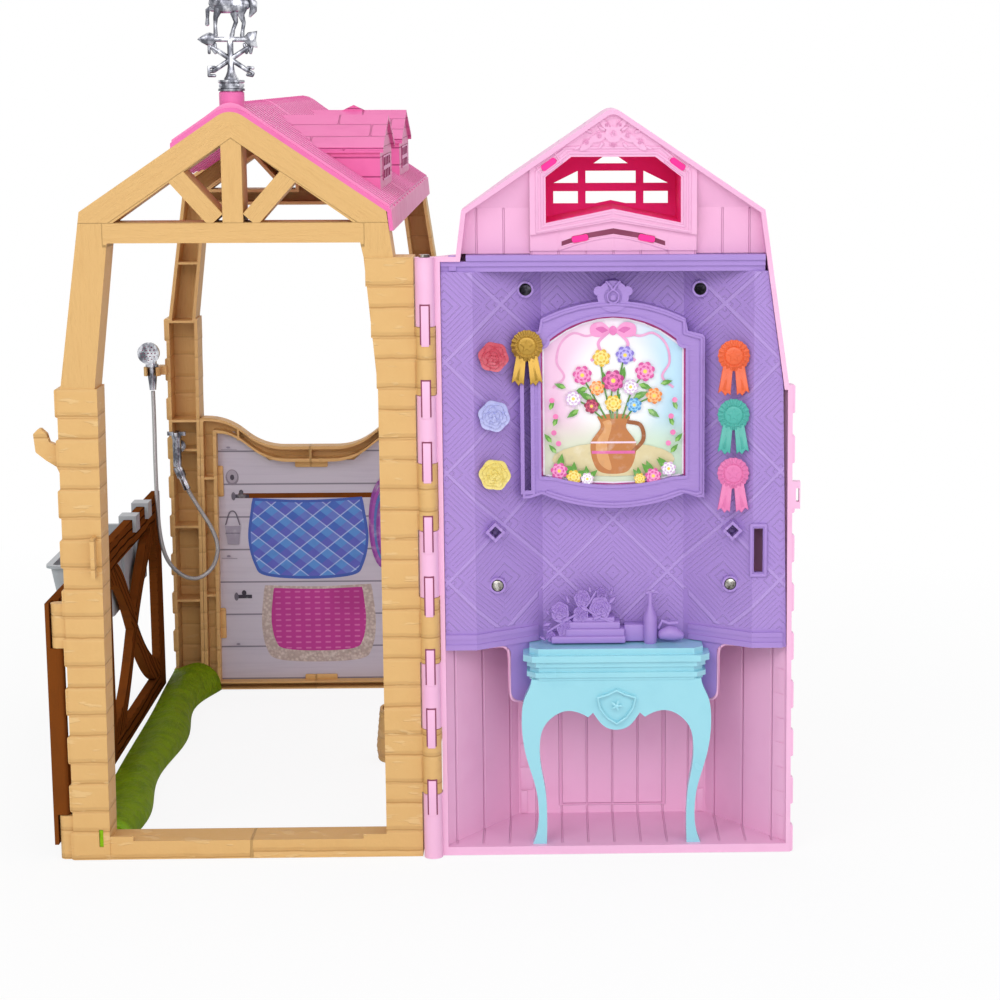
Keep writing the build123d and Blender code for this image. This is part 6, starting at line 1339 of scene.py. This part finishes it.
def arch(half, foot, rise, count=9):
    """Points of a shallow arch from the right end to the left end."""
    return [(half - 2 * half * step / (count - 1), foot + rise * (1 - (1 - 2 * step / (count - 1)) ** 2))
            for step in range(count)]


EDGE, STEP, SIDE = 50.2, 39.5, (201.0, 291.5)
MOULDING = (arch(3 - STEP, SIDE[0] + 3.4, 197.5 - SIDE[0] - 3.4)
            + [(STEP - 1.5, SIDE[0] + 3.6), (EDGE - 4.0, SIDE[0] + 1.8), (EDGE - 1.7, SIDE[0] + 2.6),
               (EDGE - 1.7, SIDE[1] - 2.2), (STEP - 0.4, SIDE[1] + 0.6), (STEP - 0.8, 299.0)]
            + arch(STEP - 1.6, 299.2, 9.0))
crest = bmesh.new()
raised_line(crest, ((-3.6, 320.6), (-1.6, 318.4), (0, 316.2), (1.6, 318.4), (3.6, 320.6)), 1.5, 13.6, 0.8)
raised_line(crest, ((0, 316.4), (-2.9, 313.8), (-2.6, 310.4), (0, 308.8), (2.6, 310.4), (2.9, 313.8), (0, 316.4)),
            1.3, 13.6, 0.8)
for x, z in ((-6.0, 309.4), (-6.8, 313.6), (6.0, 309.4), (6.8, 313.6), (-3.7, 306.2), (3.7, 306.2)):
    disc(crest, on_facade(x, 14.3, z), lambda turn: 0.6, lambda share, turn: 0.35, 2, 12)
disc(crest, on_facade(0, 13.6, 311.8), lambda turn: 1.5, lambda share, turn: 0.9 - share ** 2 * 0.4, 6, 24)
raised_line(crest, MOULDING, 2.0, 13.9, 0.8, 1)
add_piece("frame_crest", crest, "facade", "purple_plastic", (), 60.0)

trim = bmesh.new()
for grow, proud in ((2.0, 0.7), (4.8, 0.6)):
    wide = 36.4 + grow
    rim = [(-wide, 353.0 - grow), (0, 360.5 - grow), (wide, 353.0 - grow), (wide, 378.0 + grow * 0.5),
           (22.5 + grow * 0.6, 388.3 + grow), (-22.5 - grow * 0.6, 388.3 + grow), (-wide, 378.0 + grow * 0.5)]
    raised_line(trim, rim, 1.7, 3.9, proud, 1, True)
raised_line(trim, ((-29, 338.6), (-16, 342.6), (0, 345.4), (16, 342.6), (29, 338.6)), 1.4, 6.3, 0.7)
for side in (-1, 1):
    box = leaned(((-6.2, -3.2), (6.2, -3.2), (6.2, 3.2), (-6.2, 3.2)), side * 34.6, 384.4, -36 * side)
    raised_line(trim, box, 1.1, 3.8, 0.9, 1, True)
for x, z, size, spin in ((0, 400.6, 3.4, 0.3), (-7.6, 399.4, 2.7, 1.2), (7.6, 399.4, 2.7, 2.0),
                         (-14.2, 395.8, 2.2, 0.7), (14.2, 395.8, 2.2, 1.7), (-3.6, 405.2, 1.8, 2.2),
                         (3.6, 405.2, 1.8, 0.9), (0, 395.0, 2.0, 0.9)):
    rose(trim, on_facade(x, 3.9, z), size, 1.7, spin, 18, 40, wave=0.05)
for x, z, length, lean in ((4, 402, 5, 30), (10, 397, 6, -20), (5, 396, 5, -50), (11, 401, 5, 20), (17, 394, 5, -25)):
    for side, angle in ((-1, 180 - lean), (1, lean)):
        slab(trim, leaned(LEAF, side * x, z, angle, length), shelf_place(4.0), 0.9, 0.3)
add_piece("window_trim", trim, "facade", "shell_pink", (), 55.0)

slot_shades = bmesh.new()
slab(slot_shades, [(-28, 340.6), (-16, 344.4), (0, 347.0), (16, 344.4), (28, 340.6), (28, 343.0), (16, 347.2), (0, 350.0),
             (-16, 347.2), (-28, 343.0)][::-1], shelf_place(6.45), 0.12)
add_piece("window_slot_shade", slot_shades, "facade", "shell_pink", finish=SHADOW)

TABLE_MIDDLE = 1.1
emblem = bmesh.new()
badge = ((0, 94.0), (-4.6, 91.6), (-10.6, 89.8), (-9.2, 83.6), (-5.4, 78.4), (0, 74.8), (5.4, 78.4), (9.2, 83.6),
         (10.6, 89.8), (4.6, 91.6))
raised_line(emblem, [(x + TABLE_MIDDLE, z) for x, z in badge], 1.1, 2.3, 0.6, 1, True)
disc(emblem, on_facade(TABLE_MIDDLE, 3.0, 85.0), lambda turn: 2.2 + 1.1 * math.cos(5 * turn),
     lambda share, turn: 0.9 - 0.5 * share, 8, 60)
disc(emblem, on_facade(TABLE_MIDDLE, 2.4, 85.0), lambda turn: 1.0, lambda share, turn: 0.5 - 0.3 * share, 4, 20)
add_piece("table_emblem", emblem, "facade", "aqua_plastic", (), 55.0)


# %% [markdown]
# ## Quoins, basket and spray holes
# Inside the bay the corners are dressed with long and short stones. The basket by the rail is
# woven: each round goes in front of one stake and behind the next, so the rounds are waves, and
# every second one is half a wave out of step.

# %% Quoins in the bay
BAY_HALF, BAY_BACK = 53.6, 61.6
quoins = bmesh.new()
for number in range(8):
    foot = 5.2 + number * 14.2
    top = foot + 13.4
    reach = 9.5 if number % 2 else 5.5
    for side, edge in ((-1, 93.3), (1, 95.2)):
        run = Vector((-(edge - 54.0), 59.0)).normalized()
        inner = Vector((-run.y, -run.x)) * 0.9
        start = Vector((edge - 0.1, 6.6))
        end = start + run * reach
        plan = (start, end, end + inner, start + inner)
        skin(quoins, [[quoins.verts.new(on_facade(side * u, depth, z)) for u, depth in plan] for z in (foot, top)])
        wide = 7.5 if number % 2 else 4.0
        ends = sorted((side * BAY_HALF, side * (BAY_HALF - wide)))
        block(quoins, on_facade(ends[0], BAY_BACK, foot), on_facade(ends[1], BAY_BACK + 1.0, top), 0.0003)
add_piece("bay_quoins", quoins, "facade", "shell_pink")

# %% Painted highlight along the purple wall's lower edge
def wall_depth(u):
    """Depth of the purple wall's face: flat at the sides, slanting back to the recess."""
    return 2.9 + 25.1 * min(max((76.3 - abs(u)) / 36.8, 0.0), 1.0)


# A pale pink bead stands for the highlight on the wall's lower edge.
edge = bmesh.new()
for side in (-1, 1):
    line = smooth_line(((96.0, 118.6), (76.3, 118.4), (66.0, 117.9), (61.0, 116.6), (58.9, 112.5), (58.6, 100.0),
                        (58.3, 90.0), (56.6, 85.4), (52.0, 83.6)), 5)
    limb(edge, [(on_facade(side * u, wall_depth(u) + 1.0, z), 0.0008) for u, z in line], 8)
add_piece("bay_edge", edge, "facade", "shell_pink", (), 60.0)

# %% Closing strips above the cornice
strip = bmesh.new()
block(strip, on_facade(-45.0, 7.4, 333.0), on_facade(45.0, 9.4, 339.0))
add_piece("cornice_strip", strip, "facade", "shell_pink")
strip = bmesh.new()
block(strip, on_facade(-89.0, 3.4, 327.4), on_facade(-84.8, 6.0, 335.8), 0.0003)
add_piece("cornice_return", strip, "facade", "purple_plastic")

# %% Rim of the upright slot
rim = bmesh.new()
raised_line(rim, ((75.6, 159.0), (83.4, 159.0), (83.4, 187.0), (75.6, 187.0)), 2.2, 2.1, 0.8, 1, True)
add_piece("slot_rim", rim, "facade", "purple_plastic", (), 60.0)

# %% Woven basket
def basket_half(z):
    """Half widths of the basket at a height, from its three moulded sections."""
    if z < 8.0:
        return 8.6 + z / 8.0, 14.0 + z / 8.0
    share = (z - 8.0) / 25.0
    return 9.6 - 2.4 * share, 15.0 - 2.6 * share


STAKES = 26
BASKET_X, BASKET_DEPTH = 65.6, 199.0
weave = bmesh.new()
for row in range(15):
    z = 1.2 + row * 2.1
    a, b = basket_half(z)
    loops = []
    for turn in turns(STAKES * 4):
        swing = 0.45 * math.cos(STAKES * turn / 2 + math.pi * row) - 0.75
        loops.append([weave.verts.new(at(BASKET_X + (a + swing + 0.62 * math.cos(side)) * math.cos(turn),
                                         BASKET_DEPTH + (b + swing + 0.62 * math.cos(side)) * math.sin(turn),
                                         z + 1.0 * math.sin(side))) for side in turns(6)])
    skin(weave, loops + loops[:1], False)
for turn in turns(STAKES, 0.5):
    balls = []
    for z in (0.8, 8.0, 20.0, 32.0):
        a, b = basket_half(z)
        balls.append((at(BASKET_X + (a - 1.1) * math.cos(turn),
                         BASKET_DEPTH + (b - 1.1) * math.sin(turn), z), 0.0007))
    limb(weave, balls, 6)
add_piece("basket_weave", weave, "barn", "tan_plastic", (), 60.0)

# %% Spray holes in the shower head
# Each spray hole is a dark disc of painted shade.
hole = bmesh.new()
disc(hole, Vector((0, 0, 0)), lambda turn: 0.42, lambda share, turn: 0.08, 2, 10)
rose_face = [at(-108.1, 361.0, 242.5)]
for reach, count in ((2.3, 6), (4.6, 12)):
    rose_face += [at(-108.1 + reach * math.cos(turn), 361.0, 242.5 + reach * math.sin(turn)) for turn in turns(count)]
repeat("spray_holes", hole, rose_face, "shower", "plated_plastic", finish=SHADOW)
print("spray holes:", len(rose_face))


# %% [markdown]
# ## Floor and light
# A pale sweep and four broad lamps keep the shadows soft, and the world is white to the lens
# and in reflections so that plated pieces look plated.

# %% Floor and light
WHITE = (1.0, 1.0, 1.0, 1.0)
sweep = bmesh.new()
bmesh.ops.create_grid(sweep, x_segments=1, y_segments=1, size=6.0)
floor_mesh = bpy.data.meshes.new("floor")
sweep.to_mesh(floor_mesh)
sweep.free()
floor = place_object("floor", floor_mesh)
ground = bpy.data.materials.new("floor_paper")
tree = empty_tree(ground)
places = add_node(tree, "ShaderNodeTexCoord").outputs["Object"]
reach = add_node(tree, "ShaderNodeVectorMath", {0: places}, operation="LENGTH").outputs["Value"]
fade = add_node(tree, "ShaderNodeMapRange", {
    "Value": reach, "From Min": 0.35, "From Max": 0.95, "To Min": 0.88, "To Max": 1.0}).outputs["Result"]
rays = add_node(tree, "ShaderNodeLightPath").outputs
share = add_node(tree, "ShaderNodeMath", {0: rays["Is Camera Ray"], 1: fade}, operation="MULTIPLY").outputs[0]
paper = add_node(tree, "ShaderNodeBsdfDiffuse", {0: (0.92, 0.92, 0.92, 1.0)}).outputs[0]
white = add_node(tree, "ShaderNodeEmission", {0: WHITE}).outputs[0]
mix = add_node(tree, "ShaderNodeMixShader", {0: share, 1: paper, 2: white}).outputs[0]
add_node(tree, "ShaderNodeOutputMaterial", {0: mix})
floor_mesh.materials.append(ground)
floor_mesh.transform(Matrix.Translation((0, 0, -0.0004)))

world = bpy.data.worlds.new("studio")
bpy.context.scene.world = world
tree = empty_tree(world)
ambient = add_node(tree, "ShaderNodeBackground", {0: (0.96, 0.98, 1.0, 1.0), 1: 0.42}).outputs[0]
seen = add_node(tree, "ShaderNodeBackground", {0: WHITE, 1: 1.0}).outputs[0]
rays = add_node(tree, "ShaderNodeLightPath").outputs
share = rays["Is Camera Ray"]
for kind in ("Is Glossy Ray", "Is Transmission Ray"):
    share = add_node(tree, "ShaderNodeMath", {0: share, 1: rays[kind]}, operation="MAXIMUM").outputs[0]
mix = add_node(tree, "ShaderNodeMixShader", {0: share, 1: ambient, 2: seen}).outputs[0]
add_node(tree, "ShaderNodeOutputWorld", {0: mix})


def lamp(name, place, target, size, power):
    """A square soft box that looks at a target."""
    light = bpy.data.lights.new(name, "AREA")
    light.size = size
    light.energy = power
    holder = place_object(name, light)
    holder.location = place
    aim = Vector(target) - Vector(place)
    holder.rotation_euler = aim.to_track_quat("-Z", "Y").to_euler()


lamp("key", (-0.9, -1.6, 1.5), (0.1, 0.1, 0.2), 1.1, 13)
lamp("front", (0.25, -2.0, 1.0), (0.15, 0.1, 0.2), 1.5, 15)
lamp("fill", (1.4, -1.3, 0.9), (0.1, 0.1, 0.2), 1.2, 6)
lamp("top", (0.1, 0.3, 1.9), (0.1, 0.1, 0.2), 1.3, 10)
